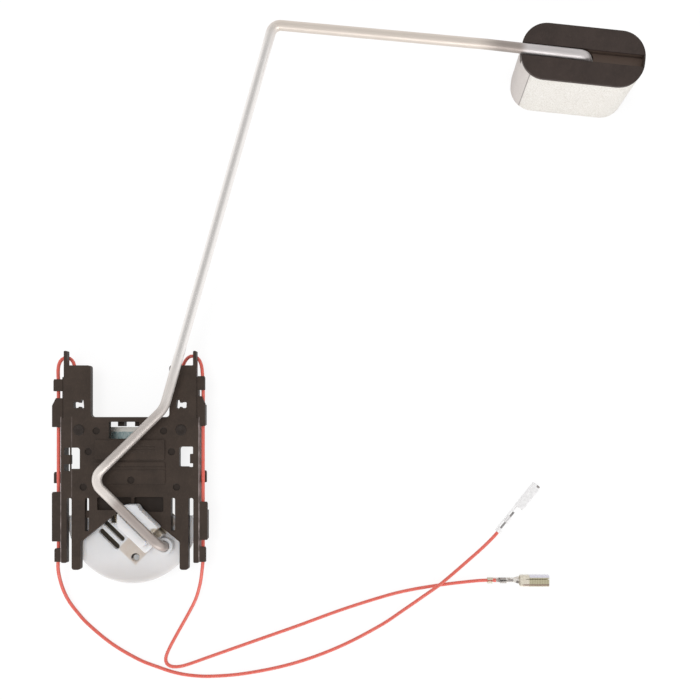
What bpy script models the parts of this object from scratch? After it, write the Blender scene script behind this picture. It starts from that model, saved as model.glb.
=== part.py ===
"""Fuel level sender lying on its back: frame, rotor on a pivot pin, wire arm, float and two leads.

Sizes are in millimetres and become metres where a mesh is made. The origin is on the pivot
axis at the back face, +Z points out of the front, and +Y points to the horns.
"""
import math

import bmesh
import bpy
from mathutils import Matrix, Vector

MM = 0.001

# Stack of layers, from the back face up
CARRIER_THICK = 1.5
LAYER_GAP = 0.3
CARD_THICK = 0.7
PRINT_GAP = 0.1
TRACK_THICK = 0.15
CONTACT_GAP = 0.2
CONTACT_THICK = 0.55
SHEET = 0.3
DISC_LOW = 5.1
DISC_THICK = 1.5
PLATE_GAP = 0.4
PLATE_THICK = 2.0

CARD_LOW = CARRIER_THICK + LAYER_GAP
CARD_TOP = CARD_LOW + CARD_THICK
TRACK_LOW = CARD_TOP + PRINT_GAP
TRACK_TOP = TRACK_LOW + TRACK_THICK
CONTACT_LOW = TRACK_TOP + CONTACT_GAP
CONTACT_TOP = CONTACT_LOW + CONTACT_THICK
DISC_TOP = DISC_LOW + DISC_THICK
PLATE_LOW = DISC_TOP + PLATE_GAP
PLATE_TOP = PLATE_LOW + PLATE_THICK
WALL_LOW = CARD_LOW + 0.1

# Frame outline, right half; the left half mirrors it
RAIL_X = 22.0
RAIL_BOTTOM = -13.7
BODY_TOP = 32.3
BAR_TOP = 32.6
HORN_IN = 12.5
HORN_OUT = 21.0
HORN_TOP = 49.0
SPIKE_WIDE = 1.0
SPIKE_TOP = 53.6
HORN_WALL_TOP = 45.3
SLOT_IN = 18.5
SLOT_OUT = 20.1
SLOT_TOP = 6.9
LEG_IN = 15.75
LEG_BOTTOM = -15.9
ARCH_TOP = 3.8
ARCH_TOP_HALF = 2.5
ARCH_FOOT = -7.0
INNER_SLOT = (13.0, -3.6, 14.3, 6.9)
TOP_WINDOW = (-6.7, 25.7, 5.2, 31.1)
EDGE_WALL = 1.0
EDGE_WALL_LOW = 5.0

# Windows beside the housing, by side; a tongue reaches in from the outer edge
WINDOW_X = {-1: (15.9, 20.85), 1: (15.6, 20.0)}
WINDOW_Y = {-1: (16.1, 22.85), 1: (16.9, 23.2)}
WINDOW_STEP = {-1: (18.9, 15.4), 1: (18.4, 16.7)}
TONGUE_Y = {-1: (17.6, 20.55), 1: (17.9, 20.9)}
TONGUE_TIP = 19.05
WINDOW_BAR = (-19.15, 14.9, -18.75, 23.4)
WINDOW_BAR_LOW = 8.3
WINDOW_BAR_THICK = 0.45

# Relief of the front face
UPPER_PANEL = (-11.1, 19.1, 11.1, 25.3)
UPPER_PANEL_RISE = 0.4
LOWER_PANEL = (-11.2, 11.4, 11.2, 18.3)
LOWER_PANEL_RISE = 0.3
RECESSES = ((-10.4, 3.1, 0.4, 7.2), (1.4, 2.5, 10.6, 7.2))
RECESS_DEEP = 1.0
SLOT_RIB = (0.6, 2.8)
MARK_R = 1.1
MARK_DEEP = 0.25
MIDDLE_MARK = (0.4, 12.6)
MARKS = ((10.7, 28.2), (13.2, 21.6), (14.8, 10.4))

# Housing behind the plate
HOUSING_WALL = 0.8
HOUSING_LOW = 16.8
HOUSING_HIGH = 30.4
RIB_HALF = 11.0
TEETH = ((-5.4, -3.4), (0.1, 2.1))
TOOTH_LONG = 1.4
TOOTH_TOP = 4.5

# Lead clips along the rails
CLIP_FRONT = (8.0, 9.0)
CLIP_REAR = (5.0, 6.2)
LIP_THICK = 0.5
LIP_LOW = 6.4

# Carrier behind the card
CARRIER_TOP = 29.0
CARRIER_LOW = (-14.0, -11.0, 10.2)
PIN_R = 2.5
PIN_TOP = 6.4
PEG_R = 1.1
PEG_FOOT_R = 1.8
FIT_GAP = 0.3

# Card and its printed tracks
OUTER_R = 15.0
TRACK_PITCH = 2.4
TRACK_WIDE = 1.2
CARD_HIGH = 29.45
INNER_R = OUTER_R - TRACK_PITCH
CARD_X = OUTER_R - 2.2
CARD_BOTTOM = 0.44 * OUTER_R
STRIP_WIDE = 0.8
PAD_Y = 27.4
PAD_X = CARD_X - 0.85
SOLDER_R = 0.95
TRACK_MARGIN = 3.0

# What surrounds the card
HOUSING_X = CARD_X + LAYER_GAP
CARRIER_X = CARD_X + 0.5
CARRIER_STEP = CARD_BOTTOM - LAYER_GAP
PEG_AT = (HOUSING_X + HOUSING_WALL + PEG_FOOT_R + 0.4, 28.5)

# Rotor; U runs from the pivot toward the arm's elbow and V is a quarter turn on
ARM_ANGLE = 135.8
SWING = 90.0
DISC_R = 20.6
DISC_EDGE = 1.0
HUB_R = 4.2
HUB_LOW = 1.9
NECK_R = 3.4
NECK_HALF = 4.1
NECK_REACH = 11.0
HOLDER_LOW = 9.4
HOLDER_FLOOR = 10.6
HOLDER_TOP = 13.2
HOLDER_FRONT = ((-2.65, -1.45, 0.8), (-2.65, 3.2, 0.9), (-0.15, 5.14, 0.8), (3.3, 5.14, 1.0))
HOLDER_REAR = ((-0.6, -5.6, 0.8), (-8.7, -5.6, 0.5), (-8.7, -2.8, 0.2), (-9.2, -0.3, 0.2), (-9.3, 2.9, 1.1))
ROD_OFFSET = -1.5
ROD_R = 1.5
ROD_Z = HOLDER_FLOOR + LAYER_GAP + ROD_R
BOSS_R = 2.7
CHANNEL_SIDE = 0.2
CHANNEL_REACH = 25.0
CHANNEL_OVER = 3.0
PRONG_OFFSET = 0.9
WIPER_BASE = (-11.3, -4.9)
WIPER_HALF = 9.8
FINGER_SLOTS = ((9.75, 1.9, -3.4, 5.2), (6.85, 1.7, -2.8, 6.4))
STAKE_AT = (1.0, -12.4)
STAKE_R = 1.3
STAKE_DEEP = 0.9
NOTCH = (-7.1, -1.3, -5.0, 3.0)
PRONG_IN = 4.6
PRONG_OUT = 6.0
PRONG_WIDE = 1.4

# Arm wire corners: x, y, height, bend radius
ARM_FOOT = (10.80, -8.41)
ARM_FOOT_LOW = 5.4
FOOT_BEND_R = 3.0
ARM_ELBOW = (-10.99, 12.82, ROD_Z, 4.2)
ARM_BEND = (11.80, 35.17, ROD_Z, 8.5)
ARM_CREST = (47.12, 151.6, 19.6, 3.0)
FLOAT_TILT = -6.0
FLOAT_LONG = 37.1
FLOAT_WIDE = 16.7
FLOAT_TALL = 24.0
FLOAT_CORNER = 7.5
FLOAT_ROD_Z = FLOAT_TALL - 0.6
ARM_TIP = (142.1, 140.35)
ARM_TIP_LOW = 12.0
ARM_KINK = (ARM_TIP[0] - 30.44, ARM_TIP[1] + 3.45, FLOAT_ROD_Z, 8.0)
FLOAT_AT = (ARM_TIP[0] - 1.7, ARM_TIP[1] + 0.1)
TIP_BEND_R = 3.0
CAP_THICK = 1.0
GROOVE_HALF = 1.8
GROOVE_END_WALL = 0.5
EDGE_ROUND = 0.5

# Leads
LEAD_R = 0.55
LEAD_REST = LEAD_R + 0.03
LEAD_RUN = {-1: -23.45, 1: 22.75}
LEAD_RUN_Z = 7.1
HORN_PASS_Z = 5.5
PAD_LEAD_Z = 3.4

# Terminals, along their own axis from the first crimp
INSULATION_CRIMP = (0.0, 1.7)
CONDUCTOR_CRIMP = (4.2, 6.5)
STRAND_END = 8.4
TAPER_START = 8.8
NECK_END = 10.6
BOX_END = 20.0
BOX_HALF = 1.8
BOX_LOW = -1.1
BOX_HIGH = 1.7
TERMINAL_WALL = 0.3

ARC_STEP = math.radians(22.5)
FINE_ARC_STEP = math.radians(7.5)
FINE_RADIUS = 5.0
ROUND_SHARE = 0.49
FILL_TURN = math.radians(17)


def u_v(along, across):
    """Plan position of a point given along the arm in its holder and across it."""
    angle = math.radians(ARM_ANGLE)
    return (along * math.cos(angle) - across * math.sin(angle),
            along * math.sin(angle) + across * math.cos(angle))


def clear_scene():
    for item in list(bpy.data.objects):
        bpy.data.objects.remove(item, do_unlink=True)
    for group in list(bpy.data.collections):
        bpy.data.collections.remove(group)


def new_collection(name):
    group = bpy.data.collections.new(name)
    bpy.context.scene.collection.children.link(group)
    return group


def mesh_object(name, mesh, home):
    item = bpy.data.objects.new(name, mesh)
    home.objects.link(item)
    return item


def turned_into_mesh(item, home):
    """Replace a curve object by a mesh object with welded caps."""
    bpy.context.view_layer.update()
    graph = bpy.context.evaluated_depsgraph_get()
    mesh = bpy.data.meshes.new_from_object(item.evaluated_get(graph))
    body = bmesh.new()
    body.from_mesh(mesh)
    bmesh.ops.remove_doubles(body, verts=body.verts, dist=1e-6)
    bmesh.ops.recalc_face_normals(body, faces=body.faces)
    body.to_mesh(mesh)
    body.free()
    name = item.name
    where = item.matrix_world.copy()
    bpy.data.objects.remove(item, do_unlink=True)
    result = mesh_object(name, mesh, home)
    result.matrix_world = where
    return result


def rounded(corners):
    """Outline through (x, y, radius) corners with each corner turned into an arc."""
    outline = []
    count = len(corners)
    for index, (x, y, radius) in enumerate(corners):
        here = Vector((x, y))
        before = Vector(corners[index - 1][:2]) - here
        after = Vector(corners[(index + 1) % count][:2]) - here
        opening = before.angle(after)
        reach = min(radius / math.tan(opening / 2), ROUND_SHARE * min(before.length, after.length))
        if reach <= 0.02:
            outline.append((x, y))
            continue
        radius = reach * math.tan(opening / 2)
        bisector = (before.normalized() + after.normalized()).normalized()
        middle = here + bisector * (radius / math.sin(opening / 2))
        spoke = here + before.normalized() * reach - middle
        turn = math.pi - opening
        side = -1 if before.x * after.y > before.y * after.x else 1
        steps = max(2, math.ceil(turn / (FINE_ARC_STEP if radius > FINE_RADIUS else ARC_STEP)))
        for step in range(steps + 1):
            turned = Matrix.Rotation(side * turn * step / steps, 2) @ spoke
            outline.append(tuple(middle + turned))
    return outline


def rectangle(box, radius=0.0):
    left, low, right, high = box
    return rounded([(left, low, radius), (right, low, radius), (right, high, radius), (left, high, radius)])


def arc(radius, start, end, step=6.0):
    """Points on a circle about the pivot, from one angle to another in degrees."""
    steps = max(2, math.ceil(abs(end - start) / step))
    angles = [math.radians(start + (end - start) * k / steps) for k in range(steps + 1)]
    return [(radius * math.cos(angle), radius * math.sin(angle)) for angle in angles]


def outline_curve(name, outlines, home):
    """Filled flat curve, drawn turned by FILL_TURN so that no two of its corners are level."""
    curve = bpy.data.curves.new(name, 'CURVE')
    curve.dimensions = '2D'
    curve.fill_mode = 'BOTH'
    turn = Matrix.Rotation(FILL_TURN, 2)
    for outline in outlines:
        spline = curve.splines.new('POLY')
        spline.points.add(len(outline) - 1)
        for point, corner in zip(spline.points, outline):
            x, y = turn @ Vector(corner)
            point.co = (x * MM, y * MM, 0, 1)
        spline.use_cyclic_u = True
    item = bpy.data.objects.new(name, curve)
    home.objects.link(item)
    return item


def filled_mesh(item, home):
    """Mesh of a filled curve, turned back to the direction it was asked for in."""
    result = turned_into_mesh(item, home)
    result.data.transform(Matrix.Rotation(-FILL_TURN, 4, 'Z'))
    return result


def plate(name, outlines, low, high, home):
    """Flat body between two heights: the first outline is its rim, the others are holes."""
    item = outline_curve(name, outlines, home)
    item.data.extrude = (high - low) / 2 * MM
    item.location.z = (high + low) / 2 * MM
    return filled_mesh(item, home)


def section(name, outlines, start, end, home):
    """Body with a constant cross-section along X; the outline's x becomes Y and its y becomes Z."""
    item = outline_curve(name, outlines, home)
    item.data.extrude = (end - start) / 2 * MM
    basis = Matrix(((0, 0, 1, 0), (1, 0, 0, 0), (0, 1, 0, 0), (0, 0, 0, 1)))
    item.matrix_world = Matrix.Translation(((start + end) / 2 * MM, 0, 0)) @ basis
    return filled_mesh(item, home)


def post(name, centre, radius, low, high, home, segments=20):
    """Upright round bar."""
    body = bmesh.new()
    bmesh.ops.create_cone(body, cap_ends=True, segments=segments, radius1=radius * MM,
                          radius2=radius * MM, depth=(high - low) * MM)
    mesh = bpy.data.meshes.new(name)
    body.to_mesh(mesh)
    body.free()
    item = mesh_object(name, mesh, home)
    item.location = (centre[0] * MM, centre[1] * MM, (low + high) / 2 * MM)
    return item


def turned_body(name, profile, centre, home, steps=16):
    """Body of revolution about an upright axis; the profile runs from top to bottom."""
    mesh = bpy.data.meshes.new(name)
    points = [(radius * MM, 0, height * MM) for radius, height in profile]
    edges = [(k, k + 1) for k in range(len(points) - 1)]
    mesh.from_pydata(points, edges, [])
    item = mesh_object(name, mesh, home)
    item.location = (centre[0] * MM, centre[1] * MM, 0)
    screw = item.modifiers.new('turn', 'SCREW')
    screw.steps = steps
    screw.render_steps = steps
    screw.use_merge_vertices = True
    screw.merge_threshold = 0.00001
    return item


def wire(name, points, radius, home, resolution):
    """Round wire or lead through the given points, with closed ends."""
    curve = bpy.data.curves.new(name, 'CURVE')
    curve.dimensions = '3D'
    curve.bevel_depth = radius * MM
    curve.bevel_resolution = resolution
    curve.use_fill_caps = True
    spline = curve.splines.new('POLY')
    spline.points.add(len(points) - 1)
    for point, place in zip(spline.points, points):
        point.co = (place[0] * MM, place[1] * MM, place[2] * MM, 1)
    item = bpy.data.objects.new(name, curve)
    home.objects.link(item)
    return turned_into_mesh(item, home)


def combine(target, other, operation):
    """Join a helper to a solid or cut it away, and keep the helper hidden."""
    other.hide_render = True
    other.display_type = 'WIRE'
    step = target.modifiers.new(other.name, 'BOOLEAN')
    step.operation = operation
    step.solver = 'EXACT'
    step.object = other


def join(target, *others):
    for other in others:
        combine(target, other, 'UNION')


def cut(target, *others):
    for other in others:
        combine(target, other, 'DIFFERENCE')


def bevelled(item, width, segments=2):
    """Round the sharp edges of a body before anything is cut from it."""
    bevel = item.modifiers.new('edges', 'BEVEL')
    bevel.width = width * MM
    bevel.segments = segments
    bevel.limit_method = 'ANGLE'
    bevel.angle_limit = math.radians(50)


def material(name, colour, roughness, metallic=0.0):
    result = bpy.data.materials.new(name)
    result.use_nodes = True
    shader = result.node_tree.nodes['Principled BSDF']
    shader.inputs['Base Color'].default_value = (*colour, 1.0)
    shader.inputs['Roughness'].default_value = roughness
    shader.inputs['Metallic'].default_value = metallic
    return result


def finish(item, colour, roughness, metallic=0.0):
    item.data.materials.clear()
    item.data.materials.append(material(item.name, colour, roughness, metallic))


def mirrored(corners):
    """Close a right-hand half outline with its mirror image."""
    return corners + [(-x, y, radius) for x, y, radius in reversed(corners)]


def frame_corners():
    """Right half of the front plate, from the crossbar round to the arch."""
    return [
        (HORN_IN, BAR_TOP, 1.0),
        (HORN_IN, HORN_TOP, 0.8),
        (HORN_OUT - SPIKE_WIDE, HORN_TOP, 0.3),
        (HORN_OUT - SPIKE_WIDE, SPIKE_TOP, 0.35),
        (HORN_OUT, SPIKE_TOP, 0.35),
        (HORN_OUT, BODY_TOP, 0.0),
        (RAIL_X, BODY_TOP, 0.4),
        (RAIL_X, RAIL_BOTTOM, 0.6),
        (SLOT_OUT, RAIL_BOTTOM, 0.4),
        (SLOT_OUT, SLOT_TOP, 0.6),
        (SLOT_IN, SLOT_TOP, 0.6),
        (SLOT_IN, LEG_BOTTOM, 0.8),
        (LEG_IN, LEG_BOTTOM, 0.8),
        (LEG_IN, ARCH_FOOT, 0.8),
        (ARCH_TOP_HALF, ARCH_TOP, 1.0),
    ]


def horn_hole(side):
    """Hole through a horn, pinched in the middle by two small tongues and taller inward."""
    corners = [(14.5, 35.4, 0.4), (15.7, 35.35, 0.3), (16.0, 36.1, 0.2), (16.4, 35.5, 0.3),
               (17.9, 35.45, 0.4), (18.0, 37.4, 0.4), (16.4, 37.3, 0.3), (16.0, 37.0, 0.2),
               (15.7, 38.0, 0.3), (14.8, 38.2, 0.4)]
    return rounded([(side * x, y, radius) for x, y, radius in corners])


def side_window(side):
    """The window of a side, a little deeper in its outer part, with the tongue that reaches into it."""
    inside, outside = WINDOW_X[side]
    low, high = WINDOW_Y[side]
    step, deep = WINDOW_STEP[side]
    tongue_low, tongue_high = TONGUE_Y[side]
    corners = [(inside, low, 0.3), (step, low, 0.1), (step, deep, 0.1), (outside, deep, 0.3),
               (outside, tongue_low, 0.1), (TONGUE_TIP, tongue_low, 0.15), (TONGUE_TIP, tongue_high, 0.15),
               (outside, tongue_high, 0.1), (outside, high, 0.3), (inside, high, 0.8)]
    return rounded([(side * x, y, radius) for x, y, radius in corners])


def inner_slot(side):
    left, low, right, high = INNER_SLOT
    return rounded([(side * x, y, 0.4) for x, y in ((left, low), (right, low), (right, high), (left, high))])


def round_outline(centre, radius, segments=16):
    turns = [2 * math.pi * k / segments for k in range(segments)]
    return [(centre[0] + radius * math.cos(turn), centre[1] + radius * math.sin(turn)) for turn in turns]


def clip(name, side, span, reach, is_front, home, corner=0.25):
    """Finger that holds a lead against the rail; corner is the chamfer at its upper outer end."""
    low, high = CLIP_FRONT if is_front else CLIP_REAR
    root = RAIL_X - EDGE_WALL / 2
    corners = [(root, span[0], 0.0), (reach, span[0], 0.2), (reach, span[1] - 2 * corner, 0.1),
               (reach - corner, span[1], 0.1), (root, span[1], 0.0)]
    return plate(name, [rounded([(side * x, y, radius) for x, y, radius in corners])], low, high - 0.1, home)


def clip_lip(name, side, span, reach, home):
    """Lip that turns back along the outer edge of a long finger."""
    box = sorted((side * (reach - LIP_THICK), side * (reach - 0.06)))
    return plate(name, [rectangle((box[0], span[0] + 0.3, box[1], span[1] - 2.7))], LIP_LOW,
                 CLIP_FRONT[1] - 0.3, home)


def add_clips(frame, helpers):
    """Five fingers on each rail, hand measured: span along the rail, reach, and which are behind."""
    fingers = {
        -1: [(40.8, 44.6, 24.3), (29.4, 38.6, 24.75), (11.4, 15.0, 25.4), (-6.9, 8.8, 24.8), (-13.4, -9.1, 24.0)],
        1: [(41.2, 45.6, 23.7), (29.75, 39.25, 23.8), (11.7, 15.5, 23.5), (-6.4, 5.7, 24.5), (-13.4, -8.6, 24.0)],
    }
    for side, rows in fingers.items():
        hand = 'left' if side < 0 else 'right'
        for index, (low, high, reach) in enumerate(rows):
            is_front = index != 2
            is_long = index in (1, 3)
            corner = 1.2 if index == 1 else 0.25
            name = f'clip_{hand}_{index}'
            join(frame, clip(name, side, (low, high), reach, is_front, helpers, corner))
            if is_long:
                join(frame, clip_lip(name + '_lip', side, (low, high), reach, helpers))


def add_edge_walls(frame, helpers):
    """Walls that make the rails and the horns' outer edges deeper than the plate."""
    for side, hand in ((-1, 'left'), (1, 'right')):
        rail = sorted((side * (RAIL_X - EDGE_WALL), side * (RAIL_X - 0.08)))
        join(frame, plate(f'rail_wall_{hand}', [rectangle((rail[0], RAIL_BOTTOM + 0.4, rail[1], BODY_TOP - 0.4))],
                          EDGE_WALL_LOW, PLATE_LOW + 0.9, helpers))
        horn = sorted((side * (RAIL_X - 2 * EDGE_WALL), side * (HORN_OUT + 0.6)))
        join(frame, plate(f'horn_wall_{hand}', [rectangle((horn[0] + 0.05, BODY_TOP - 2.0, horn[1], HORN_WALL_TOP))],
                          LIP_LOW, CLIP_FRONT[1] - 0.25, helpers))
        housing = sorted((side * HOUSING_X, side * (HOUSING_X + HOUSING_WALL)))
        join(frame, plate(f'housing_wall_{hand}', [rectangle((housing[0], HOUSING_LOW, housing[1], HOUSING_HIGH))],
                          WALL_LOW, PLATE_LOW + 0.8, helpers))


def add_top_rib(frame, helpers):
    """Rib along the top of the housing with two teeth behind the window."""
    join(frame, plate('top_rib', [rectangle((-RIB_HALF, TOP_WINDOW[3] + 0.04, RIB_HALF, BAR_TOP - 0.05))],
                      WALL_LOW, PLATE_LOW + 0.7, helpers))
    for index, (left, right) in enumerate(TEETH):
        box = (left, TOP_WINDOW[3] - TOOTH_LONG, right, TOP_WINDOW[3] + 0.6)
        join(frame, plate(f'tooth_{index}', [rectangle(box)], WALL_LOW + 0.1, TOOTH_TOP, helpers))


def add_relief(frame, helpers):
    """Raised panels, the recesses that clear the arm's holder, and ejector marks."""
    join(frame, plate('upper_panel', [rectangle(UPPER_PANEL, 0.5)], PLATE_TOP - 0.8,
                      PLATE_TOP + UPPER_PANEL_RISE, helpers))
    join(frame, plate('lower_panel', [rectangle(LOWER_PANEL, 0.5)], PLATE_TOP - 0.7,
                      PLATE_TOP + LOWER_PANEL_RISE, helpers))
    join(frame, plate('slot_rib', [rectangle((-INNER_SLOT[2] - 0.4, SLOT_RIB[0], -INNER_SLOT[0] + 0.4,
                                              SLOT_RIB[1]))],
                      PLATE_LOW + 0.1, PLATE_TOP - 0.8, helpers))
    for index, box in enumerate(RECESSES):
        cut(frame, plate(f'recess_{index}', [rectangle(box, 0.4)], PLATE_TOP - RECESS_DEEP, PLATE_TOP + 1.5,
                         helpers))
    for side, hand in ((-1, 'left'), (1, 'right')):
        for index, (x, y) in enumerate(MARKS):
            cut(frame, post(f'mark_{hand}_{index}', (side * x, y), MARK_R, PLATE_TOP - MARK_DEEP,
                            PLATE_TOP + 1.0, helpers, 14))
    cut(frame, post('mark_middle', MIDDLE_MARK, MARK_R, PLATE_TOP + LOWER_PANEL_RISE - MARK_DEEP,
                    PLATE_TOP + 1.0, helpers, 14))


def make_frame(home, helpers):
    holes = [rectangle(TOP_WINDOW, 0.3)]
    for side in (-1, 1):
        holes.append(horn_hole(side))
        holes.append(side_window(side))
        holes.append(inner_slot(side))
        holes.append(round_outline((side * PEG_AT[0], PEG_AT[1]), PEG_R + FIT_GAP))
    frame = plate('frame', [rounded(mirrored(frame_corners()))] + holes, PLATE_LOW, PLATE_TOP, home)
    add_edge_walls(frame, helpers)
    add_top_rib(frame, helpers)
    join(frame, plate('window_bar', [rectangle(WINDOW_BAR)], WINDOW_BAR_LOW, WINDOW_BAR_LOW + WINDOW_BAR_THICK,
                      helpers))
    add_clips(frame, helpers)
    add_relief(frame, helpers)
    finish(frame, (0.03, 0.026, 0.024), 0.45)
    return frame


def make_carrier(home, helpers):
    """Plate behind the card with the pivot pin and the pegs that hold the frame."""
    left, low, right = CARRIER_LOW
    ear = PEG_AT[0] + PEG_FOOT_R + 0.3
    ear_low = PEG_AT[1] - PEG_FOOT_R - 0.3
    ear_top = PEG_AT[1] + PEG_FOOT_R + 0.3
    corners = [(left, low, 1.5), (right, low, 1.5), (right, CARRIER_STEP, 0.6), (CARRIER_X, CARRIER_STEP, 0.6),
               (CARRIER_X, ear_low, 0.5), (ear, ear_low, 1.5), (ear, ear_top, 1.5), (CARRIER_X, ear_top, 0.5),
               (CARRIER_X, CARRIER_TOP, 0.5), (-CARRIER_X, CARRIER_TOP, 0.5), (-CARRIER_X, ear_top, 0.5),
               (-ear, ear_top, 1.5), (-ear, ear_low, 1.5), (-CARRIER_X, ear_low, 0.5), (-CARRIER_X, CARRIER_STEP, 0.6),
               (left, CARRIER_STEP, 0.3)]
    carrier = plate('rear_carrier', [rounded(corners)], 0.0, CARRIER_THICK, home)
    join(carrier, post('pivot_pin', (0, 0), PIN_R, CARRIER_THICK - 0.6, PIN_TOP, helpers, 28))
    for side, hand in ((-1, 'left'), (1, 'right')):
        centre = (side * PEG_AT[0], PEG_AT[1])
        join(carrier, post(f'peg_foot_{hand}', centre, PEG_FOOT_R, CARRIER_THICK - 0.6, PLATE_LOW - FIT_GAP,
                           helpers, 16))
        join(carrier, post(f'peg_{hand}', centre, PEG_R, CARRIER_THICK - 0.3, PLATE_TOP - 0.2, helpers, 16))
    finish(carrier, (0.035, 0.03, 0.028), 0.5)
    return carrier


def contact_angle(radius, offset):
    """Angle at which a prong's contact sits in the rest position."""
    return ARM_ANGLE + math.degrees(math.asin(offset / radius))


def make_ground_track(home):
    """Inner band, led out past its left end to a strip up the card's left edge."""
    top = contact_angle(INNER_R, PRONG_OFFSET) + TRACK_MARGIN
    start = top - SWING - 2 * TRACK_MARGIN
    inner = INNER_R - TRACK_WIDE / 2
    outer = INNER_R + TRACK_WIDE / 2
    end = top + 3.5
    strip_left = -CARD_X + 0.2
    strip_right = strip_left + STRIP_WIDE
    far = [math.radians(end), math.radians(top)]
    outline = arc(inner, start, end)
    outline.append((strip_left, strip_left * math.tan(far[0])))
    outline.extend([(strip_left, PAD_Y + 1), (strip_right, PAD_Y + 1)])
    outline.append((strip_right, strip_right * math.tan(far[1])))
    outline.extend(arc(outer, top, start))
    track = plate('ground_track', [outline], TRACK_LOW, TRACK_TOP, home)
    finish(track, (0.45, 0.42, 0.38), 0.35, 0.8)
    return track


def make_resistor_track(home):
    """Outer band, led out at its right end to a strip up the card's right edge."""
    top = contact_angle(OUTER_R, -PRONG_OFFSET) + TRACK_MARGIN
    start = top - SWING - 2 * TRACK_MARGIN
    inner = OUTER_R - TRACK_WIDE / 2
    outer = OUTER_R + TRACK_WIDE / 2
    strip_right = CARD_X - 0.5
    strip_left = strip_right - STRIP_WIDE
    corner = math.degrees(math.acos(strip_right / outer))
    branch = math.degrees(math.acos(strip_left / outer))
    outline = arc(inner, min(corner, start), top) + arc(outer, top, branch)
    outline.extend([(strip_left, PAD_Y + 1), (strip_right, PAD_Y + 1)])
    outline.append((strip_right, outer * math.sin(math.radians(corner))))
    track = plate('resistor_track', [outline], TRACK_LOW, TRACK_TOP, home)
    finish(track, (0.05, 0.05, 0.055), 0.4, 0.2)
    return track


def make_card(home):
    card = plate('resistor_card', [rectangle((-CARD_X, CARD_BOTTOM, CARD_X, CARD_HIGH), 0.2)],
                 CARD_LOW, CARD_TOP, home)
    finish(card, (0.8, 0.78, 0.7), 0.5)
    return card


def make_solder(home):
    """Solder joints where the leads end on the card."""
    made = []
    for name, x in (('solder_left', -CARD_X + 0.2 + STRIP_WIDE / 2),
                    ('solder_right', CARD_X - 0.5 - STRIP_WIDE / 2)):
        low = TRACK_TOP + PRINT_GAP
        profile = [(0, low + 0.8), (0.35 * SOLDER_R, low + 0.72), (0.7 * SOLDER_R, low + 0.4),
                   (SOLDER_R, low + 0.05), (SOLDER_R, low), (0, low)]
        joint = turned_body(name, profile, (x, PAD_Y), home)
        finish(joint, (0.6, 0.6, 0.62), 0.3, 0.9)
        made.append(joint)
    return made


def make_contacts(home):
    made = []
    for name, radius, offset in (('contact_inner', INNER_R, PRONG_OFFSET), ('contact_outer', OUTER_R, -PRONG_OFFSET)):
        along = math.sqrt(radius ** 2 - offset ** 2)
        profile = [(0, CONTACT_TOP), (0.55, CONTACT_TOP), (0.55, CONTACT_LOW + 0.15), (0.3, CONTACT_LOW + 0.03),
                   (0, CONTACT_LOW)]
        button = turned_body(name, profile, u_v(along, offset), home, 14)
        finish(button, (0.7, 0.68, 0.62), 0.25, 1.0)
        made.append(button)
    return made


def holder_outline():
    """Plan of the block that grips the arm, in frame axes."""
    plan = [(*corner, radius) for *corner, radius in HOLDER_FRONT]
    plan += [(*u_v(along, across), radius) for along, across, radius in HOLDER_REAR]
    return rounded(plan[::-1])


def disc_outline():
    edge = math.degrees(math.asin(DISC_EDGE / DISC_R))
    return arc(DISC_R, edge, -180 - edge, 5.0)


def arm_slot(name, across, width, start, end, low, high, home):
    """Slot cutter with round ends, parallel to the arm in its holder."""
    half = width / 2
    box = [(start, across - half), (end, across - half), (end, across + half), (start, across + half)]
    return plate(name, [rounded([(*u_v(*corner), 0.95 * half) for corner in box])], low, high, home)


def make_rotor(home, helpers):
    """Half disc with its hub, the neck in the arch, the arm's holder and a spring finger."""
    rotor = plate('rotor', [disc_outline()], DISC_LOW, DISC_TOP, home)
    join(rotor, post('hub', (0, 0), HUB_R, HUB_LOW, DISC_TOP - 0.7, helpers, 32))
    join(rotor, post('neck_round', (0, 0), NECK_R, DISC_TOP - 0.9, HOLDER_LOW + 0.7, helpers, 28))
    neck = [(-NECK_REACH, -NECK_HALF), (0, -NECK_HALF), (0, NECK_HALF), (-NECK_REACH, NECK_HALF)]
    join(rotor, plate('neck', [rounded([(*u_v(*corner), 0.5) for corner in neck])], DISC_TOP - 0.8,
                      HOLDER_LOW + 0.3, helpers))
    join(rotor, post('boss', ARM_FOOT, BOSS_R, DISC_TOP - 0.6, HOLDER_LOW, helpers, 24))
    join(rotor, plate('holder', [holder_outline()], HOLDER_LOW, HOLDER_TOP, helpers))
    channel = (ROD_R + CHANNEL_SIDE) * 2
    cut(rotor, arm_slot('rod_channel', ROD_OFFSET, channel, -CHANNEL_REACH, CHANNEL_REACH, HOLDER_FLOOR,
                        HOLDER_TOP + CHANNEL_OVER, helpers))
    cut(rotor, post('bore', (0, 0), PIN_R + FIT_GAP, HUB_LOW - 1, PIN_TOP + FIT_GAP, helpers, 28))
    cut(rotor, post('arm_hole', ARM_FOOT, ROD_R + FIT_GAP, DISC_LOW - 1, HOLDER_LOW + 1, helpers, 20))
    for index, slot in enumerate(FINGER_SLOTS):
        cut(rotor, arm_slot(f'finger_slot_{index}', *slot, DISC_LOW - 1, DISC_TOP + 1, helpers))
    cut(rotor, plate('notch', [rectangle(NOTCH, 0.3)], DISC_LOW - 1, DISC_TOP + 1, helpers))
    cut(rotor, post('stake_recess', STAKE_AT, STAKE_R, DISC_TOP - STAKE_DEEP, DISC_TOP + 1, helpers, 18))
    finish(rotor, (0.82, 0.82, 0.8), 0.4)
    return rotor


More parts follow.
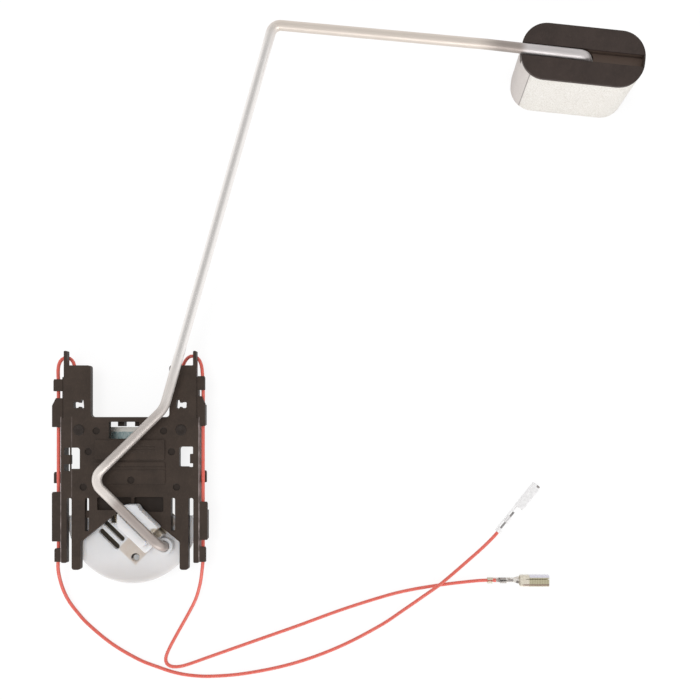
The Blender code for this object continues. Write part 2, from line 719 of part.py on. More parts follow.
def wiper_outline():
    """Flat plan of the contact spring: a base and two prongs that run to the contacts."""
    inner_tip = math.sqrt(INNER_R ** 2 - PRONG_OFFSET ** 2) + 0.9
    outer_tip = math.sqrt(OUTER_R ** 2 - PRONG_OFFSET ** 2) + 0.9
    near = PRONG_OFFSET - PRONG_WIDE / 2
    far = PRONG_OFFSET + PRONG_WIDE / 2
    base_low, base_high = WIPER_BASE
    corners = [(base_low, -WIPER_HALF, 1.0), (base_high, -WIPER_HALF, 1.0), (base_high, -PRONG_OUT, 0.6),
               (2.0, -PRONG_OUT, 2.0), (9.5, -far, 2.0), (outer_tip, -far, 0.5), (outer_tip, -near, 0.5),
               (9.0, -near, 2.0), (1.5, -PRONG_IN, 2.0), (base_high, -PRONG_IN, 0.6), (base_high, PRONG_IN, 0.6),
               (1.5, PRONG_IN, 2.0), (9.0, near, 2.0), (inner_tip, near, 0.5), (inner_tip, far, 0.5),
               (9.5, far, 2.0), (2.0, PRONG_OUT, 2.0), (base_high, PRONG_OUT, 0.6), (base_high, WIPER_HALF, 1.0),
               (base_low, WIPER_HALF, 1.0)]
    return rounded(corners)


def make_wiper(home):
    """Sheet spring that leaves its base under the disc and bends down to the card."""
    flat = outline_curve('wiper', [wiper_outline()], home)
    wiper = filled_mesh(flat, home)
    base_z = DISC_LOW - LAYER_GAP - SHEET / 2
    tip_z = CONTACT_TOP + 0.15 + SHEET / 2
    bend, level = WIPER_BASE[1] + 1.5, 9.5
    body = bmesh.new()
    body.from_mesh(wiper.data)
    for along in (bend, 0.0, 5.0, level):
        bmesh.ops.bisect_plane(body, geom=body.verts[:] + body.edges[:] + body.faces[:], dist=1e-7,
                               plane_co=(along * MM, 0, 0), plane_no=(1, 0, 0))
    for vert in body.verts:
        share = min(1.0, max(0.0, (vert.co.x / MM - bend) / (level - bend)))
        vert.co.z = (base_z + (tip_z - base_z) * share) * MM
    body.to_mesh(wiper.data)
    body.free()
    wiper.rotation_euler.z = math.radians(ARM_ANGLE)
    thick = wiper.modifiers.new('sheet', 'SOLIDIFY')
    thick.thickness = SHEET * MM
    thick.offset = 0.0
    finish(wiper, (0.62, 0.5, 0.33), 0.3, 1.0)
    return wiper


def filleted(corners, step=math.radians(18)):
    """Points along a bent wire given by (x, y, z, bend radius) corners."""
    points = [Vector(corners[0][:3])]
    for before, corner, after in zip(corners, corners[1:], corners[2:]):
        here = Vector(corner[:3])
        back = (Vector(before[:3]) - here).normalized()
        ahead = (Vector(after[:3]) - here).normalized()
        opening = back.angle(ahead)
        reach = corner[3] / math.tan(opening / 2)
        middle = here + (back + ahead).normalized() * (corner[3] / math.sin(opening / 2))
        spoke = here + back * reach - middle
        turn = math.pi - opening
        axis = spoke.cross(here + ahead * reach - middle)
        steps = max(2, math.ceil(turn / step))
        for index in range(steps + 1):
            points.append(middle + Matrix.Rotation(turn * index / steps, 3, axis) @ spoke)
    points.append(Vector(corners[-1][:3]))
    return points


def make_arm(home):
    """Stainless wire from its foot in the rotor, over the frame and up to the float."""
    corners = [
        (*ARM_FOOT, ARM_FOOT_LOW, 0),
        (*ARM_FOOT, ROD_Z, FOOT_BEND_R),
        ARM_ELBOW,
        ARM_BEND,
        ARM_CREST,
        ARM_KINK,
        (*ARM_TIP, FLOAT_ROD_Z, TIP_BEND_R),
        (*ARM_TIP, ARM_TIP_LOW, 0),
    ]
    arm = wire('float_arm', filleted(corners), ROD_R, home, 4)
    finish(arm, (0.6, 0.58, 0.55), 0.3, 1.0)
    return arm


def float_outline(shrink=0.0):
    half = FLOAT_LONG / 2 - shrink
    side = FLOAT_WIDE / 2 - shrink
    return rectangle((-half, -side, half, side), FLOAT_CORNER - shrink)


def float_reach(across, inset):
    """Half length of the float's outline at a distance across it."""
    over = max(0.0, abs(across) - (FLOAT_WIDE / 2 - FLOAT_CORNER))
    return FLOAT_LONG / 2 - inset - FLOAT_CORNER + math.sqrt(FLOAT_CORNER ** 2 - over ** 2)


def float_band(half_width, inset):
    """Band along the middle of the float that ends on its curved outline."""
    across = [half_width * share for share in (-1.0, -0.6, 0.0, 0.6, 1.0)]
    right = [(float_reach(place, inset), place) for place in across]
    return right + [(-x, y) for x, y in reversed(right)]


def make_float(home, helpers):
    """Black face plate with its groove, seated on the pale body."""
    place = bpy.data.objects.new('float_place', None)
    place.location = (FLOAT_AT[0] * MM, FLOAT_AT[1] * MM, 0)
    place.rotation_euler.z = math.radians(FLOAT_TILT)
    helpers.objects.link(place)
    face_low = FLOAT_TALL - CAP_THICK
    groove_low = FLOAT_ROD_Z - ROD_R - LAYER_GAP
    trough_half = GROOVE_HALF + CAP_THICK
    body = plate('float_body', [float_outline(0.1)], 0.0, face_low - LAYER_GAP, home)
    bevelled(body, EDGE_ROUND)
    past = FLOAT_LONG / 2 + 2
    seat_half = trough_half + LAYER_GAP
    seat = plate('float_seat', [rectangle((-past, -seat_half, past, seat_half))],
                 groove_low - CAP_THICK - LAYER_GAP, FLOAT_TALL + 1, helpers)
    cap = plate('float_cap', [float_outline()], face_low, FLOAT_TALL, home)
    trough = plate('cap_trough', [float_band(trough_half, 0.06)], groove_low - CAP_THICK, FLOAT_TALL - 0.4,
                   helpers)
    groove_end = FLOAT_LONG / 2 - GROOVE_END_WALL
    groove = plate('cap_groove', [rectangle((-past, -GROOVE_HALF, groove_end, GROOVE_HALF))], groove_low,
                   FLOAT_TALL + 2, helpers)
    tip = Matrix.Rotation(-place.rotation_euler.z, 2) @ (Vector(ARM_TIP) - Vector(FLOAT_AT))
    hole_r = ROD_R + FIT_GAP
    slot = plate('tip_slot', [rectangle((tip.x - TIP_BEND_R, tip.y - hole_r, tip.x + hole_r, tip.y + hole_r),
                                        0.95 * hole_r)], groove_low - CAP_THICK - 1, FLOAT_TALL + 2, helpers)
    for item in (body, seat, cap, trough, groove, slot):
        item.parent = place
    cut(body, seat, post('tip_hole', ARM_TIP, hole_r, ARM_TIP_LOW - FIT_GAP, FLOAT_TALL + 2, helpers, 20))
    join(cap, trough)
    cut(cap, groove, slot)
    finish(body, (0.78, 0.78, 0.76), 0.7)
    finish(cap, (0.02, 0.018, 0.018), 0.5)
    return place, body, cap


def smooth_route(knots, spacing=3.1, bend=math.radians(24)):
    """Points along a smooth curve through the knots, closer together where it bends."""
    places = [Vector(knot) for knot in knots]
    places = [2 * places[0] - places[1]] + places + [2 * places[-1] - places[-2]]
    points = []
    for first, start, end, last in zip(places, places[1:], places[2:], places[3:]):
        span = (end - start).length
        leave = (end - first).normalized() * span
        arrive = (last - start).normalized() * span
        steps = max(1, math.ceil(span / spacing), math.ceil(leave.angle(arrive) / bend))
        for index in range(steps):
            t = index / steps
            points.append(start * (2 * t ** 3 - 3 * t ** 2 + 1) + leave * (t ** 3 - 2 * t ** 2 + t)
                          + end * (3 * t ** 2 - 2 * t ** 3) + arrive * (t ** 3 - t ** 2))
    points.append(places[-2])
    return points


def held_route(side, rise):
    """Lead from its solder joint, behind the horn, round the spike and down through the clips."""
    run = LEAD_RUN[side]
    return rise + [(run, 43.0, LEAD_RUN_Z), (run, 30.0, LEAD_RUN_Z), (run, 15.0, LEAD_RUN_Z),
                   (run, 0.0, LEAD_RUN_Z), (run, -10.5, LEAD_RUN_Z)]


def left_route(terminal_start, terminal_z):
    back = HORN_PASS_Z
    rise = [(-PAD_X, 28.9, PAD_LEAD_Z), (-PAD_X - 0.05, 30.2, 3.8), (-12.6, 31.5, 4.6), (-13.7, 32.9, 5.3),
            (-14.2, 34.6, back), (-14.3, 38.0, back), (-15.6, 42.0, back), (-17.6, 45.6, back),
            (-18.9, 48.6, back), (-19.35, 50.2, back), (-20.5, 51.5, 5.6), (-22.1, 51.6, 5.8),
            (-23.3, 50.5, 6.1), (-23.75, 48.2, 6.6)]
    rest = LEAD_REST
    free = [(-23.8, -13.6, 6.6), (-24.1, -16.2, 5.9), (-24.1, -19.9, 4.4), (-23.5, -23.9, 2.9),
            (-22.2, -27.6, 1.7), (-20.1, -31.0, 0.9), (-16.8, -34.9, rest), (-8.7, -41.6, rest),
            (0.4, -46.9, rest), (6.9, -49.4, rest), (11.3, -50.85, rest), (16.3, -51.85, rest),
            (23.3, -52.25, rest), (35.0, -51.3, rest), (50.4, -48.1, rest), (65.2, -42.8, rest),
            (79.2, -35.6, rest), (88.0, -29.6, 1.1), (93.5, -25.6, 1.9), (98.1, -22.3, 2.25),
            (102.2, -19.0, 1.9), (107.7, -14.4, 1.2), (112.4, -10.2, 1.4)]
    return held_route(-1, rise) + free + lead_end(terminal_start, terminal_z, 1.4)


def right_route(terminal_start, terminal_z):
    back = HORN_PASS_Z
    rise = [(PAD_X, 28.9, PAD_LEAD_Z), (PAD_X + 0.05, 30.2, 3.8), (12.2, 31.6, 4.7), (12.6, 33.2, 5.3),
            (12.7, 35.4, back), (12.8, 38.5, back), (13.6, 42.4, back), (14.8, 46.2, back),
            (16.0, 49.4, back), (17.0, 51.2, back), (18.4, 52.2, back), (19.9, 52.0, back),
            (21.2, 50.9, 5.7), (22.0, 49.0, 6.1), (22.4, 46.8, 6.7)]
    rest = LEAD_REST
    free = [(22.6, -13.4, 6.7), (22.2, -16.0, 6.0), (21.0, -21.3, 4.0), (19.1, -26.6, 2.2),
            (16.4, -31.6, 1.0), (12.6, -38.3, rest), (10.3, -42.6, rest), (9.1, -45.4, rest),
            (8.9, -47.2, rest), (9.7, -48.5, rest), (11.3, -49.1, rest), (13.6, -49.0, rest),
            (16.3, -48.3, rest), (23.1, -45.9, rest), (37.3, -40.9, rest), (52.1, -35.7, rest),
            (66.9, -30.3, rest), (81.9, -25.6, rest), (89.6, -23.8, rest), (98.1, -22.4, rest),
            (106.0, -21.4, 0.7)]
    return held_route(1, rise) + free + lead_end(terminal_start, terminal_z, 2.85)


def lead_end(start, height, reach):
    """Last two points of a lead, on its terminal's axis and inside the first crimp."""
    x, y, heading = start
    turn = math.radians(heading)
    return [(x + along * math.cos(turn), y + along * math.sin(turn), height) for along in (-1.6, reach)]


def make_lead(name, knots, home):
    lead = wire(name, smooth_route(knots), LEAD_R, home, 2)
    finish(lead, (0.75, 0.13, 0.1), 0.45)
    return lead


def crimp_ring(name, span, inner, outer, home):
    """Crimped ears around a wire, with a seam along the top."""
    half_gap = math.radians(14)
    steps = 12
    sweep = 2 * math.pi - 2 * half_gap
    angles = [math.pi / 2 + half_gap + sweep * k / steps for k in range(steps + 1)]
    outline = [(outer * math.cos(angle), outer * math.sin(angle)) for angle in angles]
    outline += [(inner * math.cos(angle), inner * math.sin(angle)) for angle in reversed(angles)]
    return section(name, [outline], span[0], span[1], home)


def make_terminal(hand, start, height, roll, home, helpers):
    """Folded receptacle: two crimps, an open neck and a box with a contact tongue inside."""
    place = bpy.data.objects.new(f'terminal_place_{hand}', None)
    place.location = (start[0] * MM, start[1] * MM, height * MM)
    place.rotation_euler = (math.radians(roll), 0, math.radians(start[2]))
    helpers.objects.link(place)
    wall = TERMINAL_WALL
    outer = rectangle((-BOX_HALF, BOX_LOW, BOX_HALF, BOX_HIGH), 0.5)
    hollow = rectangle((-BOX_HALF + wall, BOX_LOW + wall, BOX_HALF - wall, BOX_HIGH - wall), 0.25)
    terminal = section(f'terminal_{hand}', [outer, hollow], NECK_END, BOX_END, home)
    floor = [(0.05, 0.75, 0.2), (TAPER_START, 0.75, 0.5), (NECK_END + 0.4, BOX_HALF - 0.4, 0.5),
             (NECK_END + 1.6, BOX_HALF - 0.4, 0.0)]
    floor = floor + [(x, -y, radius) for x, y, radius in reversed(floor)]
    added = [
        plate(f'terminal_floor_{hand}', [rounded(floor)], BOX_LOW + 0.06, BOX_LOW + wall - 0.04, helpers),
        crimp_ring(f'insulation_crimp_{hand}', INSULATION_CRIMP, LEAD_R + 0.15, LEAD_R + 0.42, helpers),
        crimp_ring(f'conductor_crimp_{hand}', CONDUCTOR_CRIMP, 0.5, 0.93, helpers),
        section(f'shoulder_{hand}', [rectangle((-0.5, BOX_LOW + 0.1, 0.5, BOX_LOW + 0.75))], NECK_END - 2.0,
                NECK_END + 0.6, helpers),
        section(f'tongue_{hand}', [rectangle((-0.9, BOX_HIGH - 1.1, 0.9, BOX_HIGH - wall + 0.12))],
                NECK_END + 1.0, BOX_END - 1.2, helpers),
    ]
    seam = section(f'seam_{hand}', [rectangle((0.55, BOX_HIGH - 0.9, 0.8, BOX_HIGH + 1))], NECK_END + 1.8,
                   BOX_END + 1, helpers)
    for item in added + [terminal, seam]:
        item.matrix_world = Matrix.Translation(place.location) @ place.rotation_euler.to_matrix().to_4x4() \
            @ item.matrix_world
    join(terminal, *added)
    cut(terminal, seam)
    finish(terminal, (0.66, 0.62, 0.5), 0.3, 1.0)
    return place, terminal


def make_strands(hand, start, height, reach, home):
    """Bare strands between the end of the insulation and the brush behind the crimp."""
    lobes = 7
    count = lobes * 4
    turns = [2 * math.pi * k / count for k in range(count)]
    radii = [0.3 + 0.07 * abs(math.cos(lobes * turn / 2)) for turn in turns]
    outline = [(radius * math.cos(turn), radius * math.sin(turn)) for radius, turn in zip(radii, turns)]
    strands = section(f'strands_{hand}', [outline], reach + FIT_GAP, STRAND_END, home)
    turn = Matrix.Rotation(math.radians(start[2]), 4, 'Z')
    where = Matrix.Translation((start[0] * MM, start[1] * MM, height * MM))
    strands.matrix_world = where @ turn @ strands.matrix_world
    finish(strands, (0.72, 0.45, 0.3), 0.35, 1.0)
    return strands


def main():
    clear_scene()
    home = new_collection('fuel_level_sender')
    helpers = new_collection('cutters')
    pivot = bpy.data.objects.new('arm_swing_pivot', None)
    helpers.objects.link(pivot)
    make_frame(home, helpers)
    make_carrier(home, helpers)
    make_card(home)
    make_ground_track(home)
    make_resistor_track(home)
    make_solder(home)
    place, _, _ = make_float(home, helpers)
    moving = [make_rotor(home, helpers), make_wiper(home), make_arm(home), place] + make_contacts(home)
    for item in moving:
        item.parent = pivot
    upper = (117.5, -4.8, 51.0)
    lower = (114.2, -20.7, 0.0)
    upper_z = BOX_HALF + 0.03
    lower_z = -BOX_LOW + 0.03
    make_lead('lead_left', left_route(upper, upper_z), home)
    make_lead('lead_right', right_route(lower, lower_z), home)
    make_terminal('left', upper, upper_z, 90.0, home, helpers)
    make_terminal('right', lower, lower_z, 0.0, home, helpers)
    make_strands('left', upper, upper_z, 1.4, home)
    make_strands('right', lower, lower_z, 2.85, home)


main()
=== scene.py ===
"""Looks of a fuel level sender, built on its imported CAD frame.

Distances are in millimetres and become metres where a mesh, curve, lamp or camera is made.
Colours are in linear light.
"""

import math

import bmesh
import bpy
from mathutils import Matrix, Vector


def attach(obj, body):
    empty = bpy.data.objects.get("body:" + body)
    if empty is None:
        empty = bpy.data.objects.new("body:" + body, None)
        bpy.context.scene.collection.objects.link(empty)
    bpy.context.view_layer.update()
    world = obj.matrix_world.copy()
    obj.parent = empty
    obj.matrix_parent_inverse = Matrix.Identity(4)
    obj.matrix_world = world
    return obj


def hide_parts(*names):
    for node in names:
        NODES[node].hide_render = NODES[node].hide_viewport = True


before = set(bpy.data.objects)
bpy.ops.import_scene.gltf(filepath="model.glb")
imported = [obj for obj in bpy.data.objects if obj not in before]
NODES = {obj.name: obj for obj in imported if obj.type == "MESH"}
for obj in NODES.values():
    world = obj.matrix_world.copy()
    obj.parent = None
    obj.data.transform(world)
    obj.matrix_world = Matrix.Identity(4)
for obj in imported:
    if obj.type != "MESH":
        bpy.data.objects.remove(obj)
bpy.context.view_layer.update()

MM = 0.001

# Camera: straight down, with the photograph's own framing
IMAGE = 700
CAMERA_AT = (85.67, 28.48, 260.0)
LENS = 40.7
SENSOR = 36.0
OPTICAL_CENTRE = (400, 430)

# Leads, as routed in the CAD source
LEAD_R = 0.55
LEAD_REST = 0.58
LEAD_RUN = {"left": -23.45, "right": 22.75}
LEAD_RUN_Y = (43.0, 30.0, 15.0, 0.0, -10.5)
LEAD_RUN_Z = 7.1
LEAD_STEP = 1.2

# Arm wire, as bent in the CAD source: x, y, z and bend radius of each corner
ROD_R = 1.5
ROD_CHAMFER = 0.2
ROD_STEP = math.radians(5)
ROD_SIDES = 40
KINK_X = 111.66
ARM_CORNERS = [
    (10.80, -8.41, 5.4, 0), (10.80, -8.41, 12.4, 3.0), (-10.99, 12.82, 12.4, 4.2),
    (11.80, 35.17, 12.4, 8.5), (47.12, 151.6, 19.6, 3.0), (KINK_X, 143.8, 23.4, 8.0),
    (142.1, 140.35, 23.4, 3.0), (142.1, 140.35, 12.0, 0)]

# Arm wire's zones of painted light and shade, by the way along it from its end in the rotor, and by x on
# its top leg;
# an END or START pair is where a zone fades out or in
HOLDER_END = (24.0, 29.0)
LOWER_RUN = (27.0, 41.0)
UPPER_RUN = (40.0, 66.0)
FREE_RUN = (80.0, 184.0)
TOP_START = (184.0, 190.0)
KINK_START = (KINK_X - 4.0, KINK_X + 5.0)
CAP_START = (121.0, 124.0)

# Frame: its front face, and the marks, recesses and rails that its finish follows, with shade painted into
# the marks and recesses and highlights painted along the rail and slot edges
PLATE_TOP = 9.0
RECESS_LEVEL = (PLATE_TOP - 1.2, PLATE_TOP - 1.0)
PANEL_LEVEL = (PLATE_TOP - 0.9, PLATE_TOP - 0.3)
RECESS_BOX = (-10.4, 2.5, 10.6, 7.2)
RAIL_EDGES = ((-22.1, -21.8, 0.06), (21.7, 22.1, 0.08))
RAIL_ENDS = (-13.7, 32.6)
SLOT_EDGE = (-18.65, -18.35)
SLOT_ENDS = (7.2, 32.6)
MARK_R = 1.1
MARKS = ((10.7, 28.2), (13.2, 21.6), (14.8, 10.4))
MIDDLE_MARK = (0.4, 12.6)
RIB_ROWS = ((-4.0, 21.4, 8.0, 23.6), (-6.0, 15.3, 11.0, 17.1))
RIB_PITCH = 0.9
RIB_HEIGHT = 0.22

# Peg heads: radius and height above the plate of each ring, from the rim to the dimple
PEG_AT = (16.2, 28.5)
PEG_SIDES = 28
PEG_RINGS = ((1.75, -0.1), (1.75, 0.1), (1.55, 0.2), (1.2, 0.2), (0.95, 0.02), (0.25, -0.05))

# Block that closes the top window beside the arm
CHEEK_BOX = (2.9, 25.5, 5.4, 31.3)
CHEEK_LEVELS = (PLATE_TOP - 1.9, PLATE_TOP - 0.1)

# Card: where its glaze ends and its bare top edge starts
GLAZE_END = (28.05, 28.4)

# Rotor: the arm's direction in its holder, what shows through the disc beside it, and where shade and light
# are painted on the disc
ARM_ANGLE = math.radians(135.8)
ARM_WAY = (math.cos(ARM_ANGLE), math.sin(ARM_ANGLE))
SPRING_ALONG = (-11.0, -3.3)
SPRING_ACROSS = (-9.6, 9.9)
DISC_LEVEL = (6.7, 7.1)
DISC_FADE = (-19.5, -11.5)
SHADE_SPOT_AT = (9.0, -3.9)
SHADE_SPOT_R = 1.7
STAKE_AT = (1.0, -12.4)
STAKE_RING = (0.95, 1.45)
STAKE_R = 0.85
STAKE_SHADE_WAY = (-0.35, 0.94)

# Float: level between its groove and its face, and the parting line at its near left corner
GROOVE_LEVEL = (23.1, 23.6)
SEAM_AT = (124.2, 134.3)
SEAM_NORMAL = (-0.89, 0.456)

# Terminals: x, y, height of the axis, heading in degrees, and how far in the insulation reaches
TERMINAL = {"left": (117.5, -4.8, 1.83, 51.0, 1.4), "right": (114.2, -20.7, 1.13, 0.0, 2.85)}
LEAD_STRAIGHT = 1.6
FOLD_R = 0.55
FOLDS = {"left": ((119.1, -2.5), (122.7, 1.3), (130.5, 10.2)), "right": ((124.2, -21.4),)}

# Terminals: zones along the axis from its rear end, and across it; a START pair is where one fades in
INSULATION_CRIMP = (-0.6, 1.7)
CONDUCTOR_CRIMP = (3.7, 6.2)
CRIMP_SEAM = (1.5, 10.6)
CRIMP_SEAM_ACROSS = (-0.1, 0.3)
BOX_START = (10.2, 10.8)
FLANK_START = (10.6, 12.1)
FLANK_ACROSS = (-1.5, -0.95)
FLATS_START = (13.2, 13.9)
LIT_FLAT_ACROSS = (0.95, 1.35)
FLATS_PITCH = 0.8

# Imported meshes: corners sharper than this stay sharp, and vertices nearer than this are welded
SHARP_ANGLE = math.radians(32)
WELD = 0.002

# Floor and surround: half the floor's width, its tone in diffuse light, and strengths of light,
# where 1 shows as white
FLOOR_HALF = 3000.0
FLOOR_TONE = 0.86
FLOOR_GLOW = 1.06
FLOOR_SHARE = 0.8
WORLD_LEVEL = 0.64
WORLD_HORIZON = 1.0
WORLD_ZENITH = 0.5
HORIZON_TOP = 0.25

# Lamps: place, aim, size and power in watts
KEY_LAMP = ((-60, 160, 1000), (60, 40, 0), (450, 450), 3.4)
FRONT_LAMP = ((150, -900, 420), (140, 130, 10), (900, 500), 4.0)


# Camera

def make_camera():
    """Camera over the object; the shift puts its axis where the photograph's was."""
    data = bpy.data.cameras.new("camera")
    data.sensor_width = SENSOR
    data.lens = LENS
    data.shift_x = (IMAGE / 2 - OPTICAL_CENTRE[0]) / IMAGE
    data.shift_y = (OPTICAL_CENTRE[1] - IMAGE / 2) / IMAGE
    data.clip_start = 0.01
    camera = bpy.data.objects.new("camera", data)
    camera.location = Vector(CAMERA_AT) * MM
    bpy.context.scene.collection.objects.link(camera)
    bpy.context.scene.camera = camera


# Leads

def smooth_route(knots):
    """Evenly spaced points along a smooth curve through the knots."""
    places = [Vector(knot) for knot in knots]
    places = [2 * places[0] - places[1]] + places + [2 * places[-1] - places[-2]]
    points = []
    for first, start, end, last in zip(places, places[1:], places[2:], places[3:]):
        span = (end - start).length
        leave = (end - first).normalized() * span
        arrive = (last - start).normalized() * span
        steps = max(2, math.ceil(span / LEAD_STEP))
        for index in range(steps):
            t = index / steps
            points.append(start * (2 * t ** 3 - 3 * t ** 2 + 1) + leave * (t ** 3 - 2 * t ** 2 + t)
                          + end * (3 * t ** 2 - 2 * t ** 3) + arrive * (t ** 3 - t ** 2))
    points.append(places[-2])
    return points


# From the solder joint, round the horn and into the clips
LEAD_RISE = {
    "left": [(-11.95, 28.9, 3.4), (-12.0, 30.2, 3.8), (-12.6, 31.5, 4.6), (-13.7, 32.9, 5.3),
             (-14.2, 34.6, 5.5), (-14.3, 38.0, 5.5), (-15.6, 42.0, 5.5), (-17.6, 45.6, 5.5),
             (-18.9, 48.6, 5.5), (-19.35, 50.2, 5.5), (-20.5, 51.5, 5.6), (-22.1, 51.6, 5.8),
             (-23.3, 50.5, 6.1), (-23.75, 48.2, 6.6)],
    "right": [(11.95, 28.9, 3.4), (12.0, 30.2, 3.8), (12.2, 31.6, 4.7), (12.6, 33.2, 5.3),
              (12.7, 35.4, 5.5), (12.8, 38.5, 5.5), (13.6, 42.4, 5.5), (14.8, 46.2, 5.5),
              (16.0, 49.4, 5.5), (17.0, 51.2, 5.5), (18.4, 52.2, 5.5), (19.9, 52.0, 5.5),
              (21.2, 50.9, 5.7), (22.0, 49.0, 6.1), (22.4, 46.8, 6.7)],
}
# From the clips, down to the floor and on to the terminal
LEAD_FREE = {
    "left": [(-23.8, -13.6, 6.6), (-24.1, -16.2, 5.9), (-24.1, -19.9, 4.4), (-23.5, -23.9, 2.9),
             (-22.2, -27.6, 1.7), (-20.1, -31.0, 0.9), (-16.8, -34.9, LEAD_REST), (-8.7, -41.6, LEAD_REST),
             (0.4, -46.9, LEAD_REST), (6.9, -49.4, LEAD_REST), (11.3, -50.85, LEAD_REST),
             (16.3, -51.85, LEAD_REST), (23.3, -52.25, LEAD_REST), (35.0, -51.3, LEAD_REST),
             (50.4, -48.1, LEAD_REST), (65.2, -42.8, LEAD_REST), (79.2, -35.6, LEAD_REST),
             (88.0, -29.6, 1.1), (93.5, -25.6, 1.9), (98.1, -22.3, 2.25), (102.2, -19.0, 1.9),
             (107.7, -14.4, 1.2), (112.4, -10.2, 1.4)],
    "right": [(22.6, -13.4, 6.7), (22.2, -16.0, 6.0), (21.0, -21.3, 4.0), (19.1, -26.6, 2.2),
              (16.4, -31.6, 1.0), (12.6, -38.3, LEAD_REST), (10.3, -42.6, LEAD_REST),
              (9.1, -45.4, LEAD_REST), (8.9, -47.2, LEAD_REST), (9.7, -48.5, LEAD_REST),
              (11.3, -49.1, LEAD_REST), (13.6, -49.0, LEAD_REST), (16.3, -48.3, LEAD_REST),
              (23.1, -45.9, LEAD_REST), (37.3, -40.9, LEAD_REST), (52.1, -35.7, LEAD_REST),
              (66.9, -30.3, LEAD_REST), (81.9, -25.6, LEAD_REST), (89.6, -23.8, LEAD_REST),
              (98.1, -22.4, LEAD_REST), (106.0, -21.4, 0.7)],
}


def held_run(hand):
    """Straight stretch that the clips hold beside the rail."""
    return [(LEAD_RUN[hand], y, LEAD_RUN_Z) for y in LEAD_RUN_Y]


def lead_end(hand):
    """Last straight stretch, along the terminal's axis."""
    x, y, z, heading, reach = TERMINAL[hand]
    turn = math.radians(heading)
    return [(x + along * math.cos(turn), y + along * math.sin(turn), z)
            for along in (-LEAD_STRAIGHT, reach)]


def make_lead(hand, look):
    """Insulated lead from its solder joint to its terminal, as one curve."""
    knots = LEAD_RISE[hand] + held_run(hand) + LEAD_FREE[hand] + lead_end(hand)
    points = smooth_route(knots)
    curve = bpy.data.curves.new(f"insulation_{hand}", "CURVE")
    curve.dimensions = "3D"
    curve.bevel_depth = LEAD_R * MM
    curve.bevel_resolution = 4
    curve.use_fill_caps = True
    spline = curve.splines.new("POLY")
    spline.points.add(len(points) - 1)
    for point, place in zip(spline.points, points):
        point.co = (*(place * MM), 1)
    spline.use_smooth = True
    curve.materials.append(look)
    lead = bpy.data.objects.new(f"insulation_{hand}", curve)
    bpy.context.scene.collection.objects.link(lead)
    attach(lead, "base")
    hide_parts(f"lead_{hand}")


# Materials

